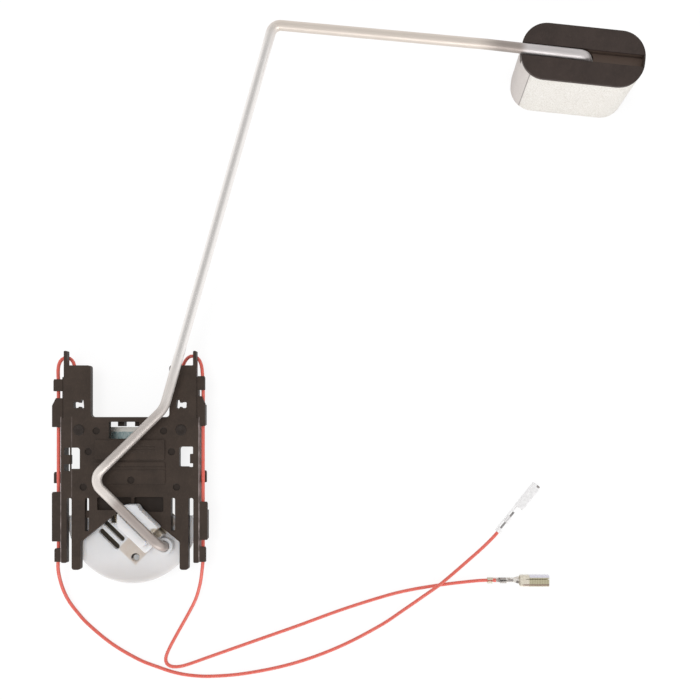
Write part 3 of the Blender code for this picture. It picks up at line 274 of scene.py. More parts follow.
class Look:
    """Material in the making; its place socket gives millimetres in the part's own frame."""

    def __init__(self, name, colour, roughness, metallic=0.0, specular=0.5, edge=0.0):
        self.material = bpy.data.materials.new(name)
        self.material.use_nodes = True
        self.tree = self.material.node_tree
        self.shader = self.tree.nodes["Principled BSDF"]
        self.shader.inputs["Base Color"].default_value = (*colour, 1.0)
        self.shader.inputs["Roughness"].default_value = roughness
        self.shader.inputs["Metallic"].default_value = metallic
        self.shader.inputs["Specular IOR Level"].default_value = specular
        coordinates = self.tree.nodes.new("ShaderNodeTexCoord")
        scale = self.tree.nodes.new("ShaderNodeVectorMath")
        scale.operation = "SCALE"
        scale.inputs["Scale"].default_value = 1 / MM
        self.tree.links.new(coordinates.outputs["Object"], scale.inputs[0])
        self.place = scale.outputs[0]
        self.length = coordinates.outputs["UV"]
        if edge:
            rim = self.tree.nodes.new("ShaderNodeBevel")
            rim.samples = 6
            rim.inputs["Radius"].default_value = edge * MM
            self.tree.links.new(rim.outputs[0], self.shader.inputs["Normal"])

    def depth(self, weight, reach):
        """Let light in, to a depth in millimetres for each of red, green and blue."""
        self.shader.inputs["Subsurface Weight"].default_value = weight
        self.shader.inputs["Subsurface Radius"].default_value = [part * MM for part in reach]
        self.shader.inputs["Subsurface Scale"].default_value = 1.0

    def noise(self, size, detail=3.0, roughness=0.55, stretch=(1, 1, 1), source=None):
        """Noise of about that size in millimetres, longer where stretch is more than 1."""
        source = source or self.place
        if stretch != (1, 1, 1):
            mapping = self.tree.nodes.new("ShaderNodeMapping")
            mapping.inputs["Scale"].default_value = [1 / share for share in stretch]
            self.tree.links.new(source, mapping.inputs["Vector"])
            source = mapping.outputs[0]
        node = self.tree.nodes.new("ShaderNodeTexNoise")
        node.inputs["Scale"].default_value = 1 / size
        node.inputs["Detail"].default_value = detail
        node.inputs["Roughness"].default_value = roughness
        self.tree.links.new(source, node.inputs["Vector"])
        return node.outputs["Fac"]

    def ramp(self, value, low, high, bottom=0.0, top=1.0):
        """Grey from bottom to top while the value goes from low to high."""
        node = self.tree.nodes.new("ShaderNodeValToRGB")
        for element, where, grey in zip(node.color_ramp.elements, (low, high), (bottom, top)):
            element.position = where
            element.color = (grey, grey, grey, 1)
        self.tree.links.new(value, node.inputs[0])
        return node.outputs[0]

    def maths(self, operation, first, second=0.0, third=0.0):
        """Result of a sum on sockets or plain numbers."""
        node = self.tree.nodes.new("ShaderNodeMath")
        node.operation = operation
        for socket, value in zip(node.inputs, (first, second, third)):
            if isinstance(value, (int, float)):
                socket.default_value = value
            else:
                self.tree.links.new(value, socket)
        return node.outputs[0]

    def both(self, first, second):
        return self.maths("MULTIPLY", first, second)

    def either(self, first, second):
        return self.maths("MAXIMUM", first, second)

    def without(self, mask):
        return self.maths("SUBTRACT", 1.0, mask)

    def mix(self, share, first, second):
        """Colour between two others, given as sockets or as plain colours."""
        node = self.tree.nodes.new("ShaderNodeMix")
        node.data_type = "RGBA"
        colour_a, colour_b = node.inputs[6], node.inputs[7]
        self.tree.links.new(share, node.inputs[0])
        for socket, value in ((colour_a, first), (colour_b, second)):
            if isinstance(value, tuple):
                socket.default_value = (*value, 1)
            else:
                self.tree.links.new(value, socket)
        return node.outputs[2]

    def lay(self, under, over, mask, share=1.0):
        """Colour laid over another where the mask is 1, as thickly as the share says."""
        return self.mix(mask if share == 1.0 else self.both(mask, share), under, over)

    def axis(self, name, source=None):
        node = self.tree.nodes.new("ShaderNodeSeparateXYZ")
        self.tree.links.new(source or self.place, node.inputs[0])
        return node.outputs["XYZ".index(name)]

    def along(self, direction, origin=(0, 0)):
        """Distance in the plan from an origin, measured along a direction."""
        node = self.tree.nodes.new("ShaderNodeVectorMath")
        node.operation = "DOT_PRODUCT"
        node.inputs[1].default_value = (*direction, 0)
        self.tree.links.new(self.place, node.inputs[0])
        start = origin[0] * direction[0] + origin[1] * direction[1]
        return self.maths("SUBTRACT", node.outputs["Value"], start)

    def step(self, value, low, high):
        """0 below low, 1 above high, smooth between."""
        node = self.tree.nodes.new("ShaderNodeMapRange")
        node.interpolation_type = "SMOOTHSTEP"
        node.inputs["From Min"].default_value = low
        node.inputs["From Max"].default_value = high
        self.tree.links.new(value, node.inputs["Value"])
        return node.outputs[0]

    def band(self, value, low, high, soft):
        """1 between low and high, fading to 0 over a soft edge."""
        rise = self.step(value, low - soft, low + soft)
        return self.both(rise, self.without(self.step(value, high - soft, high + soft)))

    def spot(self, centre, radius, soft):
        """1 within a radius of a point in the plan, fading to 0 over a soft edge."""
        flat = self.tree.nodes.new("ShaderNodeVectorMath")
        flat.operation = "MULTIPLY"
        flat.inputs[1].default_value = (1, 1, 0)
        self.tree.links.new(self.place, flat.inputs[0])
        reach = self.tree.nodes.new("ShaderNodeVectorMath")
        reach.operation = "DISTANCE"
        reach.inputs[1].default_value = (*centre, 0)
        self.tree.links.new(flat.outputs[0], reach.inputs[0])
        return self.without(self.step(reach.outputs["Value"], radius - soft, radius + soft))

    def box(self, low_x, low_y, high_x, high_y, soft):
        """1 inside a rectangle of the plan."""
        across = self.band(self.axis("X"), low_x, high_x, soft)
        return self.both(across, self.band(self.axis("Y"), low_y, high_y, soft))

    def colour(self, socket):
        self.tree.links.new(socket, self.shader.inputs["Base Color"])

    def roughness(self, socket):
        self.tree.links.new(socket, self.shader.inputs["Roughness"])

    def bump(self, height, depth, strength=1.0):
        """Raise the surface by a height of up to depth millimetres."""
        node = self.tree.nodes.new("ShaderNodeBump")
        node.inputs["Distance"].default_value = depth * MM
        node.inputs["Strength"].default_value = strength
        self.tree.links.new(height, node.inputs["Height"])
        if self.shader.inputs["Normal"].is_linked:
            self.tree.links.new(self.shader.inputs["Normal"].links[0].from_socket, node.inputs["Normal"])
        self.tree.links.new(node.outputs[0], self.shader.inputs["Normal"])


def moulded_black(name, tint, detail=None):
    """Glass-filled moulded plastic: fine grain, faint flow marks, uneven gloss and rounded edges."""
    flow_tint = tuple(1.5 * part for part in tint)
    fibre_tint = tuple(2.4 * part for part in tint)
    look = Look(name, tint, 0.5, specular=0.3, edge=0.18)
    skin = look.mix(look.ramp(look.noise(6.0, 5.0, 0.6), 0.35, 0.75), tint, flow_tint)
    fibres = look.ramp(look.noise(0.35, 4.0, 0.7, (1, 2.2, 1)), 0.52, 0.72)
    skin = look.lay(skin, fibre_tint, fibres, 0.3)
    look.colour(detail(look, skin) if detail else skin)
    look.roughness(look.ramp(look.noise(2.2, 5.0, 0.6), 0.3, 0.7, 0.42, 0.62))
    look.bump(look.noise(0.16, 2.0), 0.02, 0.6)
    look.bump(look.noise(5.0, 3.0), 0.15, 0.6)
    return look.material


def mark_spots(look):
    """Round ejector marks on the frame's front."""
    marks = look.spot(MIDDLE_MARK, MARK_R, 0.12)
    for x, y in MARKS:
        for side in (-1, 1):
            marks = look.either(marks, look.spot((side * x, y), MARK_R, 0.12))
    return marks


def painted_edge_highlights(look):
    """Painted highlights along the edges of both rails, and faintly along that of the left slot."""
    left, right = (look.band(look.axis("X"), *edge) for edge in RAIL_EDGES)
    edges = look.both(look.either(right, left), look.band(look.axis("Y"), *RAIL_ENDS, 0.3))
    slot = look.both(look.band(look.axis("X"), *SLOT_EDGE, 0.08),
                     look.band(look.axis("Y"), *SLOT_ENDS, 0.3))
    edges = look.either(edges, look.both(slot, 0.3))
    return look.both(edges, look.ramp(look.noise(1.1, 4.0, 0.65, (1, 2.5, 1)), 0.35, 0.65, 0.25, 1.0))


def rib_height(look):
    """Two groups of long plain ribs across the frame's middle panels."""
    waves = look.maths("PINGPONG", look.axis("Y"), RIB_PITCH / 2)
    bars = look.step(waves, 0.2 * RIB_PITCH, 0.3 * RIB_PITCH)
    total = 0.0
    for row in RIB_ROWS:
        total = look.either(total, look.both(bars, look.box(*row, 0.1)))
    return total


def frame_detail(look, skin):
    """Dimpled ejector marks and recesses with painted shade, painted highlights along the rail edges, and
    two rows of plain moulded ribs.
    """
    painted_shade_black = (0.012, 0.008, 0.006)
    painted_highlight_grey = (0.36, 0.3, 0.29)
    marks = mark_spots(look)
    on_front = look.step(look.axis("Z"), *RECESS_LEVEL)
    sunk = look.both(on_front, look.without(look.step(look.axis("Z"), *PANEL_LEVEL)))
    # Painted shade: the sunk panel and the ejector marks are darkened towards black.
    low = look.either(look.both(sunk, look.box(*RECESS_BOX, 0.2)), look.both(marks, 0.85))
    skin = look.lay(skin, painted_shade_black, low, 0.7)
    look.bump(marks, -0.12)
    look.bump(rib_height(look), RIB_HEIGHT)
    # Painted highlight: a pale grey line along the rail edges and, fainter, along the left slot's edge.
    return look.lay(skin, painted_highlight_grey, painted_edge_highlights(look), 0.85)


def groove_detail(look, skin):
    """The groove's floor and walls, in a paler brown than the face."""
    groove_brown = (0.1, 0.07, 0.055)
    return look.lay(skin, groove_brown, look.without(look.step(look.axis("Z"), *GROOVE_LEVEL)))


def card_look():
    """Alumina card with a teal glaze below its bare top edge."""
    bare_light, bare_dark = (1.0, 0.98, 0.93), (0.92, 0.89, 0.8)
    glaze_dark, glaze_light = (0.29, 0.43, 0.44), (0.62, 0.7, 0.69)
    look = Look("card_look", (0.9, 0.88, 0.82), 0.5)
    bare = look.mix(look.noise(0.5), bare_light, bare_dark)
    streaks = look.ramp(look.noise(0.7, 4.0, 0.6, (0.5, 1.6, 1)), 0.35, 0.65)
    glaze = look.mix(streaks, glaze_dark, glaze_light)
    uneven_height = look.maths("ADD", look.axis("Y"), look.both(look.noise(1.3), 0.5))
    look.colour(look.mix(look.step(uneven_height, *GLAZE_END), glaze, bare))
    look.roughness(look.ramp(look.noise(0.7), 0.3, 0.7, 0.35, 0.6))
    look.bump(look.noise(0.2), 0.02, 0.5)
    return look.material


def track_look(name, dark, light):
    """Printed and fired track, slightly uneven in tone."""
    look = Look(name, dark, 0.4, 0.3)
    look.colour(look.mix(look.noise(0.25, 4.0), dark, light))
    look.roughness(look.ramp(look.noise(0.3), 0.3, 0.7, 0.3, 0.5))
    look.bump(look.noise(0.1), 0.01, 0.5)
    return look.material


def metal_look(name, colour, dark):
    """Sheet, cast or stranded metal with fine scratches and slightly stained patches."""
    look = Look(name, colour, 0.18, 1.0)
    look.colour(look.mix(look.ramp(look.noise(1.6, 4.0, 0.6), 0.38, 0.72), colour, dark))
    look.roughness(look.ramp(look.noise(0.35, 4.0), 0.3, 0.7, 0.18, 0.36))
    look.bump(look.noise(0.12, 3.0), 0.012, 0.6)
    return look.material


def wire_look():
    """Drawn stainless wire with painted light and shade along it, brightest on its free leg; its UV is in
    millimetres, round and along.
    """
    drawn_light, drawn_dark, worn = (0.81, 0.765, 0.73), (0.66, 0.615, 0.58), (0.6, 0.55, 0.51)
    look = Look("wire_look", (0.72, 0.67, 0.63), 0.42, 0.6)
    look.shader.inputs["Sheen Weight"].default_value = 0.45
    look.shader.inputs["Sheen Roughness"].default_value = 0.3
    lines = look.noise(0.12, 3.0, 0.6, (1, 90, 1), look.length)
    patches = look.noise(4.0, 3.0, 0.5, (1, 3, 1), look.length)
    skin = look.mix(look.ramp(lines, 0.3, 0.7), drawn_light, drawn_dark)
    skin = look.lay(skin, worn, look.ramp(patches, 0.45, 0.8))
    run = look.axis("Y", look.length)
    free = look.band(run, *FREE_RUN, 7.0)
    in_holder = look.without(look.step(run, *HOLDER_END))
    # Painted light and shade: the one wire is darker in the holder and over the frame, lighter below the
    # elbow and on its free leg, darker past the kink and paler on the float.
    zones = (
        (in_holder, 0.75, (0.4, 0.335, 0.305)),
        (look.band(run, *LOWER_RUN, 3.0), 0.8, (0.93, 0.86, 0.81)),
        (look.band(run, *UPPER_RUN, 4.0), 0.6, (0.47, 0.415, 0.385)),
        (free, 1.0, look.mix(lines, (0.95, 0.92, 0.9), (0.86, 0.82, 0.79))),
        (look.step(run, *TOP_START), 1.0, look.mix(lines, (0.78, 0.7, 0.63), (0.64, 0.57, 0.51))),
        (look.step(look.axis("X"), *KINK_START), 1.0,
         look.mix(lines, (0.41, 0.355, 0.325), (0.32, 0.275, 0.25))),
        (look.step(look.axis("X"), *CAP_START), 1.0,
         look.mix(patches, (0.72, 0.69, 0.69), (0.5, 0.46, 0.45))))
    for mask, share, colour in zones:
        skin = look.lay(skin, colour, mask, share)
    look.colour(skin)
    look.tree.links.new(look.maths("MULTIPLY_ADD", free, 0.3, 0.6), look.shader.inputs["Metallic"])
    rough = look.maths("ADD", look.both(lines, 0.6), look.both(patches, 0.4))
    rough = look.ramp(rough, 0.3, 0.7, 0.38, 0.54)
    look.roughness(look.maths("MULTIPLY_ADD", free, -0.2, rough))
    look.bump(lines, 0.01, 0.5)
    return look.material


def rotor_look():
    """Natural acetal; the contact spring's base shows through, one peg is staked, and shade is painted
    beside the holder, in the stake's ring and on the disc's lower part, with a painted highlight in the
    stake.
    """
    skin_light, skin_dark, painted_lower_shade = (0.75, 0.74, 0.745), (0.675, 0.665, 0.67), (0.5, 0.485, 0.48)
    spring_tan, painted_shade_brown = (0.545, 0.475, 0.415), (0.3, 0.24, 0.16)
    stake_shade, painted_stake_highlight = (0.05, 0.045, 0.04), (0.82, 0.8, 0.78)
    look = Look("rotor_look", (0.76, 0.75, 0.75), 0.4, edge=0.15)
    look.depth(1.0, (3.6, 3.3, 3.0))
    skin = look.mix(look.noise(6.0, 4.0), skin_light, skin_dark)
    spring = look.both(look.band(look.along(ARM_WAY), *SPRING_ALONG, 0.35),
                       look.band(look.along((-ARM_WAY[1], ARM_WAY[0])), *SPRING_ACROSS, 0.35))
    on_disc = look.without(look.step(look.axis("Z"), *DISC_LEVEL))
    stain = look.ramp(look.noise(1.8, 4.0), 0.3, 0.7, 0.75, 1.0)
    skin = look.lay(skin, spring_tan, look.both(look.both(spring, on_disc), stain))
    # Painted shade: a brown spot at the end of the holder's ridge.
    skin = look.lay(skin, painted_shade_brown, look.spot(SHADE_SPOT_AT, SHADE_SPOT_R, 0.4), 0.8)
    # Painted shadow in the stake's ring on its upper side, and a painted highlight in its middle.
    inner, outer = (look.spot(STAKE_AT, radius, 0.12) for radius in STAKE_RING)
    shaded = look.step(look.along(STAKE_SHADE_WAY, STAKE_AT), -0.2, 0.5)
    skin = look.lay(skin, stake_shade, look.both(look.maths("SUBTRACT", outer, inner), shaded))
    skin = look.lay(skin, painted_stake_highlight, look.spot(STAKE_AT, STAKE_R, 0.12), 0.7)
    # Painted shade: the disc grows darker towards its lower edge.
    skin = look.lay(skin, painted_lower_shade, look.without(look.step(look.axis("Y"), *DISC_FADE)), 0.6)
    look.colour(skin)
    look.roughness(look.ramp(look.noise(1.2, 3.0), 0.3, 0.7, 0.34, 0.52))
    look.bump(look.noise(0.5, 3.0), 0.02, 0.5)
    return look.material


def float_body_look():
    """Pale closed-cell body with a speckled skin, a parting line down one corner, and painted shade on its
    end beyond that line.
    """
    skin_dark, skin_light, speck_brown = (0.90, 0.865, 0.815), (0.96, 0.935, 0.895), (0.72, 0.68, 0.615)
    painted_end_shade, seam_grey = (0.66, 0.60, 0.575), (0.25, 0.23, 0.22)
    look = Look("float_body_look", (0.88, 0.86, 0.82), 0.7)
    speck = look.ramp(look.noise(0.38, 4.0, 0.75), 0.36, 0.56)
    skin = look.mix(speck, speck_brown, look.mix(look.noise(4.0, 3.0), skin_dark, skin_light))
    # Painted shade: the end beyond the parting line is greyer.
    skin = look.lay(skin, painted_end_shade, look.step(look.along(SEAM_NORMAL, SEAM_AT), -0.6, 0.1), 0.75)
    seam = look.band(look.along(SEAM_NORMAL, SEAM_AT), -0.1, 0.1, 0.06)
    look.colour(look.lay(skin, seam_grey, seam, 0.7))
    look.roughness(look.ramp(speck, 0.0, 1.0, 0.85, 0.6))
    look.bump(speck, 0.06, 0.7)
    look.bump(seam, 0.15)
    return look.material


def insulation_look():
    """Thin red insulation that lets a little light in."""
    look = Look("insulation_look", (0.78, 0.12, 0.08), 0.38)
    look.depth(0.3, (0.8, 0.3, 0.2))
    look.colour(look.mix(look.noise(3.0, 3.0), (0.76, 0.17, 0.13), (0.66, 0.12, 0.09)))
    look.roughness(look.ramp(look.noise(0.6), 0.3, 0.7, 0.3, 0.48))
    look.bump(look.noise(0.3, 3.0), 0.012, 0.5)
    return look.material


def terminal_look(name, colour, dark, folds, detail):
    """Tin plate gone matt, with painted shade at a few folds and one terminal's own details."""
    fold_shade = (0.16, 0.13, 0.12)
    look = Look(name, colour, 0.35, 0.3)
    plate = look.mix(look.ramp(look.noise(0.9, 4.0, 0.6), 0.4, 0.72), colour, dark)
    for place in folds:
        # Painted shade: small dark spots at the folds.
        plate = look.lay(plate, fold_shade, look.spot(place, FOLD_R, 0.2), 0.85)
    look.colour(detail(look, plate))
    look.roughness(look.ramp(look.noise(0.35, 4.0), 0.3, 0.7, 0.28, 0.45))
    look.bump(look.noise(0.12, 3.0), 0.015, 0.7)
    return look.material


def seam_detail(look, plate):
    """Grey seam where the left terminal's crimps close."""
    seam_grey = (0.62, 0.6, 0.6)
    x, y, _, heading, _ = TERMINAL["left"]
    way = (math.cos(math.radians(heading)), math.sin(math.radians(heading)))
    seam = look.both(look.band(look.along((-way[1], way[0]), (x, y)), *CRIMP_SEAM_ACROSS, 0.1),
                     look.band(look.along(way, (x, y)), *CRIMP_SEAM, 0.4))
    return look.lay(plate, seam_grey, seam, 0.8)


def zone_detail(look, plate):
    """Crimps, box and ribbed flats of the right terminal, which lies along x, with a painted highlight on
    its upper flat and painted shade on its lower flank.
    """
    crimp_brass, crimp_dark, box_tin = (0.6, 0.56, 0.44), (0.3, 0.27, 0.25), (0.72, 0.66, 0.54)
    flat_dark, flat_light, lit_flat = (0.44, 0.4, 0.26), (0.52, 0.48, 0.33), (0.74, 0.72, 0.8)
    painted_flank_shade = (0.24, 0.15, 0.13)
    along = look.along((1, 0), TERMINAL["right"][:2])
    across = look.along((0, 1), TERMINAL["right"][:2])
    plate = look.lay(plate, crimp_brass, look.band(along, *INSULATION_CRIMP, 0.2))
    plate = look.lay(plate, crimp_dark, look.band(along, *CONDUCTOR_CRIMP, 0.3), 0.85)
    plate = look.lay(plate, box_tin, look.step(along, *BOX_START), 0.9)
    on_flats = look.step(along, *FLATS_START)
    ribs = look.step(look.maths("PINGPONG", look.axis("X"), FLATS_PITCH / 2), 0.05, 0.35)
    plate = look.mix(on_flats, plate, look.mix(ribs, flat_dark, flat_light))
    # Painted highlight on the upper flat, and painted shade on the flank below.
    plate = look.lay(plate, lit_flat, look.both(on_flats, look.step(across, *LIT_FLAT_ACROSS)))
    flank = look.both(look.step(along, *FLANK_START), look.band(across, *FLANK_ACROSS, 0.25))
    return look.lay(plate, painted_flank_shade, flank, 0.9)


# Shape helpers

def smoothing_group():
    """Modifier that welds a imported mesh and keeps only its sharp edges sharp."""
    group = bpy.data.node_groups.new("soft_shading", "GeometryNodeTree")
    group.interface.new_socket("Geometry", in_out="INPUT", socket_type="NodeSocketGeometry")
    group.interface.new_socket("Geometry", in_out="OUTPUT", socket_type="NodeSocketGeometry")
    start = group.nodes.new("NodeGroupInput")
    end = group.nodes.new("NodeGroupOutput")
    merge = group.nodes.new("GeometryNodeMergeByDistance")
    merge.inputs["Distance"].default_value = WELD * MM
    angle = group.nodes.new("GeometryNodeInputMeshEdgeAngle")
    limit = group.nodes.new("FunctionNodeCompare")
    limit.data_type = "FLOAT"
    limit.operation = "GREATER_THAN"
    limit.inputs[1].default_value = SHARP_ANGLE
    shade = group.nodes.new("GeometryNodeSetMeshNormal")
    shade.inputs["Remove Custom"].default_value = True
    shade.inputs["Face Sharpness"].default_value = False
    links = group.links
    links.new(start.outputs[0], merge.inputs[0])
    links.new(merge.outputs[0], shade.inputs[0])
    links.new(angle.outputs[0], limit.inputs[0])
    links.new(limit.outputs[0], shade.inputs["Edge Sharpness"])
    links.new(shade.outputs[0], end.inputs[0])
    return group


def dress(node, look, group):
    """Give a CAD node its material and soft shading; its shape stays as imported from model.glb."""
    item = NODES[node]
    for slot in item.material_slots:
        slot.material = look
    item.modifiers.new("soft_shading", "NODES").node_group = group


def finished(name, body, look):
    """Object made of a bmesh, with its material."""
    mesh = bpy.data.meshes.new(name)
    body.to_mesh(mesh)
    body.free()
    mesh.materials.append(look)
    item = bpy.data.objects.new(name, mesh)
    bpy.context.scene.collection.objects.link(item)
    return item


def bridge(body, rings):
    """Smooth faces between neighbouring rings of vertices, then a lid at each end."""
    sides = len(rings[0])
    faces = []
    for first, second in zip(rings, rings[1:]):
        for k in range(sides):
            after = (k + 1) % sides
            faces.append(body.faces.new((first[k], first[after], second[after], second[k])))
            faces[-1].smooth = True
    body.faces.new(rings[0][::-1])
    body.faces.new(rings[-1])
    return faces


def filleted(corners):
    """Points along a bent wire given by (x, y, z, bend radius) corners."""
    points = [Vector(corners[0][:3])]
    for before, corner, after in zip(corners, corners[1:], corners[2:]):
        here = Vector(corner[:3])
        back = (Vector(before[:3]) - here).normalized()
        ahead = (Vector(after[:3]) - here).normalized()
        opening = back.angle(ahead)
        reach = corner[3] / math.tan(opening / 2)
        middle = here + (back + ahead).normalized() * (corner[3] / math.sin(opening / 2))
        spoke = here + back * reach - middle
        turn = math.pi - opening
        axis = spoke.cross(here + ahead * reach - middle)
        steps = max(3, math.ceil(turn / ROD_STEP))
        for index in range(steps + 1):
            points.append(middle + Matrix.Rotation(turn * index / steps, 3, axis) @ spoke)
    points.append(Vector(corners[-1][:3]))
    return points


def rings_along(body, points, radii, sides):
    """Rings of vertices square to a path, each turned no further than the path turns."""
    side = (points[1] - points[0]).orthogonal().normalized()
    rings = []
    for index, (point, radius) in enumerate(zip(points, radii)):
        ahead = points[min(index + 1, len(points) - 1)] - points[max(index - 1, 0)]
        ahead.normalize()
        side = (side - ahead * side.dot(ahead)).normalized()
        up = ahead.cross(side)
        ring = []
        for turn in (2 * math.pi * k / sides for k in range(sides)):
            spoke = side * math.cos(turn) + up * math.sin(turn)
            ring.append(body.verts.new((point + spoke * radius) * MM))
        rings.append(ring)
    return rings


def tube(name, points, look):
    """Closed round wire with chamfered ends and a UV map in millimetres round and along it."""
    head = (points[1] - points[0]).normalized() * ROD_CHAMFER
    tail = (points[-2] - points[-1]).normalized() * ROD_CHAMFER
    points = [points[0], points[0] + head] + points[1:-1] + [points[-1] + tail, points[-1]]
    radii = [ROD_R - ROD_CHAMFER] + [ROD_R] * (len(points) - 2) + [ROD_R - ROD_CHAMFER]
    travelled = [0.0]
    for before, point in zip(points, points[1:]):
        travelled.append(travelled[-1] + (point - before).length)
    body = bmesh.new()
    uv = body.loops.layers.uv.new("length")
    rings = rings_along(body, points, radii, ROD_SIDES)
    width = 2 * math.pi * ROD_R / ROD_SIDES
    for number, face in enumerate(bridge(body, rings)):
        row, column = divmod(number, ROD_SIDES)
        places = ((column, row), (column + 1, row), (column + 1, row + 1), (column, row + 1))
        for loop, (steps_round, ring) in zip(face.loops, places):
            loop[uv].uv = (steps_round * width, travelled[ring])
    return finished(name, body, look)


def make_wire():
    """Arm wire with drawn lines along it."""
    arm = tube("arm_wire", filleted(ARM_CORNERS), wire_look())
    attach(arm, "arm")
    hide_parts("float_arm")


def make_window_cheek(look):
    """Black block that closes the top window beside the arm."""
    low_x, low_y, high_x, high_y = CHEEK_BOX
    outline = [(low_x, low_y), (high_x, low_y), (high_x, high_y), (low_x, high_y)]
    body = bmesh.new()
    floor, lid = ([body.verts.new((x * MM, y * MM, z * MM)) for x, y in outline] for z in CHEEK_LEVELS)
    body.faces.new(floor[::-1])
    body.faces.new(lid)
    for first, second, third, fourth in zip(floor, floor[1:] + floor[:1], lid[1:] + lid[:1], lid):
        body.faces.new((first, second, third, fourth))
    cheek = finished("window_cheek", body, look)
    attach(cheek, "base")


def make_peg_heads(look):
    """Staked heads of the two pegs that hold the carrier, each with a dimple in its middle."""
    for hand, side in (("left", -1), ("right", 1)):
        body = bmesh.new()
        rings = []
        for radius, height in PEG_RINGS:
            ring = []
            for turn in (2 * math.pi * k / PEG_SIDES for k in range(PEG_SIDES)):
                x = side * PEG_AT[0] + radius * math.cos(turn)
                y = PEG_AT[1] + radius * math.sin(turn)
                ring.append(body.verts.new(Vector((x, y, PLATE_TOP + height)) * MM))
            rings.append(ring)
        bridge(body, rings)
        head = finished(f"peg_head_{hand}", body, look)
        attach(head, "base")


# Stage and light

def rays_of(tree, *kinds):
    """1 for rays of the kinds named, by the names of Light Path's sockets."""
    rays = tree.nodes.new("ShaderNodeLightPath")
    total = rays.outputs[kinds[0]]
    for kind in kinds[1:]:
        adder = tree.nodes.new("ShaderNodeMath")
        adder.operation = "ADD"
        adder.use_clamp = True
        tree.links.new(total, adder.inputs[0])
        tree.links.new(rays.outputs[kind], adder.inputs[1])
        total = adder.outputs[0]
    return total


def floor_look():
    """White paper that glows where it is seen, directly or in a reflection, but keeps a soft shadow."""
    material = bpy.data.materials.new("floor_look")
    material.use_nodes = True
    tree = material.node_tree
    tree.nodes.clear()
    output = tree.nodes.new("ShaderNodeOutputMaterial")
    paper = tree.nodes.new("ShaderNodeBsdfDiffuse")
    paper.inputs["Color"].default_value = (FLOOR_TONE, FLOOR_TONE, FLOOR_TONE, 1)
    glow = tree.nodes.new("ShaderNodeEmission")
    glow.inputs["Color"].default_value = (1, 1, 1, 1)
    glow.inputs["Strength"].default_value = FLOOR_GLOW
    share = tree.nodes.new("ShaderNodeMath")
    share.operation = "MULTIPLY"
    share.inputs[1].default_value = FLOOR_SHARE
    seen = rays_of(tree, "Is Camera Ray", "Is Glossy Ray", "Is Transmission Ray")
    tree.links.new(seen, share.inputs[0])
    both = tree.nodes.new("ShaderNodeMixShader")
    tree.links.new(share.outputs[0], both.inputs[0])
    tree.links.new(paper.outputs[0], both.inputs[1])
    tree.links.new(glow.outputs[0], both.inputs[2])
    tree.links.new(both.outputs[0], output.inputs[0])
    return material


def make_floor():
    """Wide flat floor under the part."""
    half = FLOOR_HALF * MM
    mesh = bpy.data.meshes.new("floor")
    mesh.from_pydata([(-half, -half, 0), (half, -half, 0), (half, half, 0), (-half, half, 0)],
                     [], [(0, 1, 2, 3)])
    mesh.materials.append(floor_look())
    floor = bpy.data.objects.new("floor", mesh)
    bpy.context.scene.collection.objects.link(floor)


def make_world():
    """Even studio surround, white where it is seen directly and dimmer overhead in reflections."""
    world = bpy.data.worlds.new("studio")
    world.use_nodes = True
    tree = world.node_tree
    back = tree.nodes["Background"]
    back.inputs["Color"].default_value = (1, 1, 1, 1)
    place = tree.nodes.new("ShaderNodeTexCoord")
    parts = tree.nodes.new("ShaderNodeSeparateXYZ")
    tree.links.new(place.outputs["Generated"], parts.inputs[0])
    slope = tree.nodes.new("ShaderNodeMapRange")
    slope.inputs["From Min"].default_value = HORIZON_TOP
    slope.inputs["From Max"].default_value = 1.0
    slope.inputs["To Min"].default_value = WORLD_HORIZON
    slope.inputs["To Max"].default_value = WORLD_ZENITH
    tree.links.new(parts.outputs["Z"], slope.inputs["Value"])
    glossy = tree.nodes.new("ShaderNodeMix")
    glossy.inputs[2].default_value = WORLD_LEVEL
    tree.links.new(rays_of(tree, "Is Glossy Ray"), glossy.inputs[0])
    tree.links.new(slope.outputs[0], glossy.inputs[3])
    direct = tree.nodes.new("ShaderNodeMix")
    direct.inputs[3].default_value = 1.0
    tree.links.new(rays_of(tree, "Is Camera Ray", "Is Transmission Ray"), direct.inputs[0])
    tree.links.new(glossy.outputs[0], direct.inputs[2])
    tree.links.new(direct.outputs[0], back.inputs["Strength"])
    bpy.context.scene.world = world


def make_lamp(name, place, aim, size, power, shines=True):
    """Soft rectangular lamp; one that doesn't shine is left out of reflections."""
    data = bpy.data.lights.new(name, "AREA")
    data.shape = "RECTANGLE"
    data.size = size[0] * MM
    data.size_y = size[1] * MM
    data.energy = power
    lamp = bpy.data.objects.new(name, data)
    lamp.location = Vector(place) * MM
    lamp.rotation_euler = (Vector(aim) - Vector(place)).to_track_quat("-Z", "Y").to_euler()
    lamp.visible_glossy = shines
    bpy.context.scene.collection.objects.link(lamp)


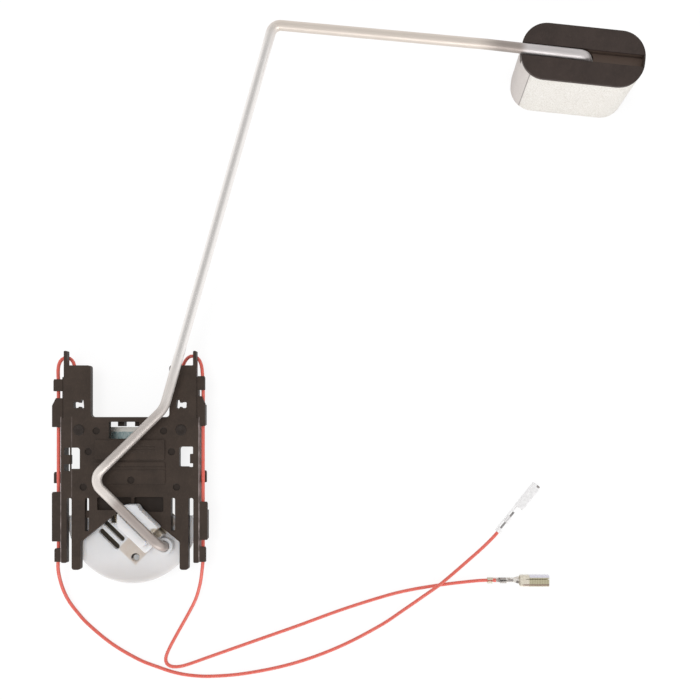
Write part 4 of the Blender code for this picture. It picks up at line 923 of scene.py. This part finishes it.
def dress_nodes():
    """Give every CAD node its look, and add the small forms that only the looks have."""
    group = smoothing_group()
    black = moulded_black("frame_look", (0.0355, 0.0245, 0.0185), frame_detail)
    dress("frame", black, group)
    make_window_cheek(black)
    # The peg heads' black is darker than the frame's: painted shade, as in the frame's marks.
    make_peg_heads(moulded_black("peg_look", (0.022, 0.016, 0.013)))
    # The carrier's black is lighter than the frame's: painted light where it shows deep through the slots.
    dress("rear_carrier", moulded_black("carrier_look", (0.075, 0.064, 0.048)), group)
    dress("resistor_card", card_look(), group)
    dress("resistor_track", track_look("resistor_look", (0.03, 0.03, 0.033), (0.08, 0.08, 0.085)), group)
    dress("ground_track", track_look("ground_look", (0.35, 0.33, 0.3), (0.5, 0.47, 0.42)), group)
    solder = metal_look("solder_look", (0.66, 0.66, 0.68), (0.4, 0.4, 0.42))
    dress("solder_left", solder, group)
    dress("solder_right", solder, group)
    dress("rotor", rotor_look(), group)
    dress("wiper", metal_look("wiper_look", (0.66, 0.55, 0.4), (0.5, 0.4, 0.28)), group)
    contact = metal_look("contact_look", (0.7, 0.68, 0.62), (0.5, 0.48, 0.43))
    dress("contact_inner", contact, group)
    dress("contact_outer", contact, group)
    dress("float_cap", moulded_black("cap_look", (0.034, 0.0238, 0.02), groove_detail), group)
    dress("float_body", float_body_look(), group)
    tinned = terminal_look("tinned_look", (0.95, 0.94, 0.94), (0.8, 0.79, 0.79), FOLDS["left"], seam_detail)
    brassy = terminal_look("brassy_look", (0.93, 0.9, 0.86), (0.6, 0.55, 0.48), FOLDS["right"], zone_detail)
    dress("terminal_left", tinned, group)
    dress("terminal_right", brassy, group)
    dress("strands_left", metal_look("tinned_strands_look", (0.6, 0.58, 0.57), (0.25, 0.24, 0.24)), group)
    dress("strands_right", metal_look("strands_look", (0.45, 0.41, 0.39), (0.2, 0.18, 0.17)), group)


make_camera()
insulation = insulation_look()
make_lead("left", insulation)
make_lead("right", insulation)
make_wire()
dress_nodes()
make_floor()
make_world()
make_lamp("key", *KEY_LAMP, shines=False)
make_lamp("front", *FRONT_LAMP)
bpy.context.scene.view_settings.view_transform = "Standard"
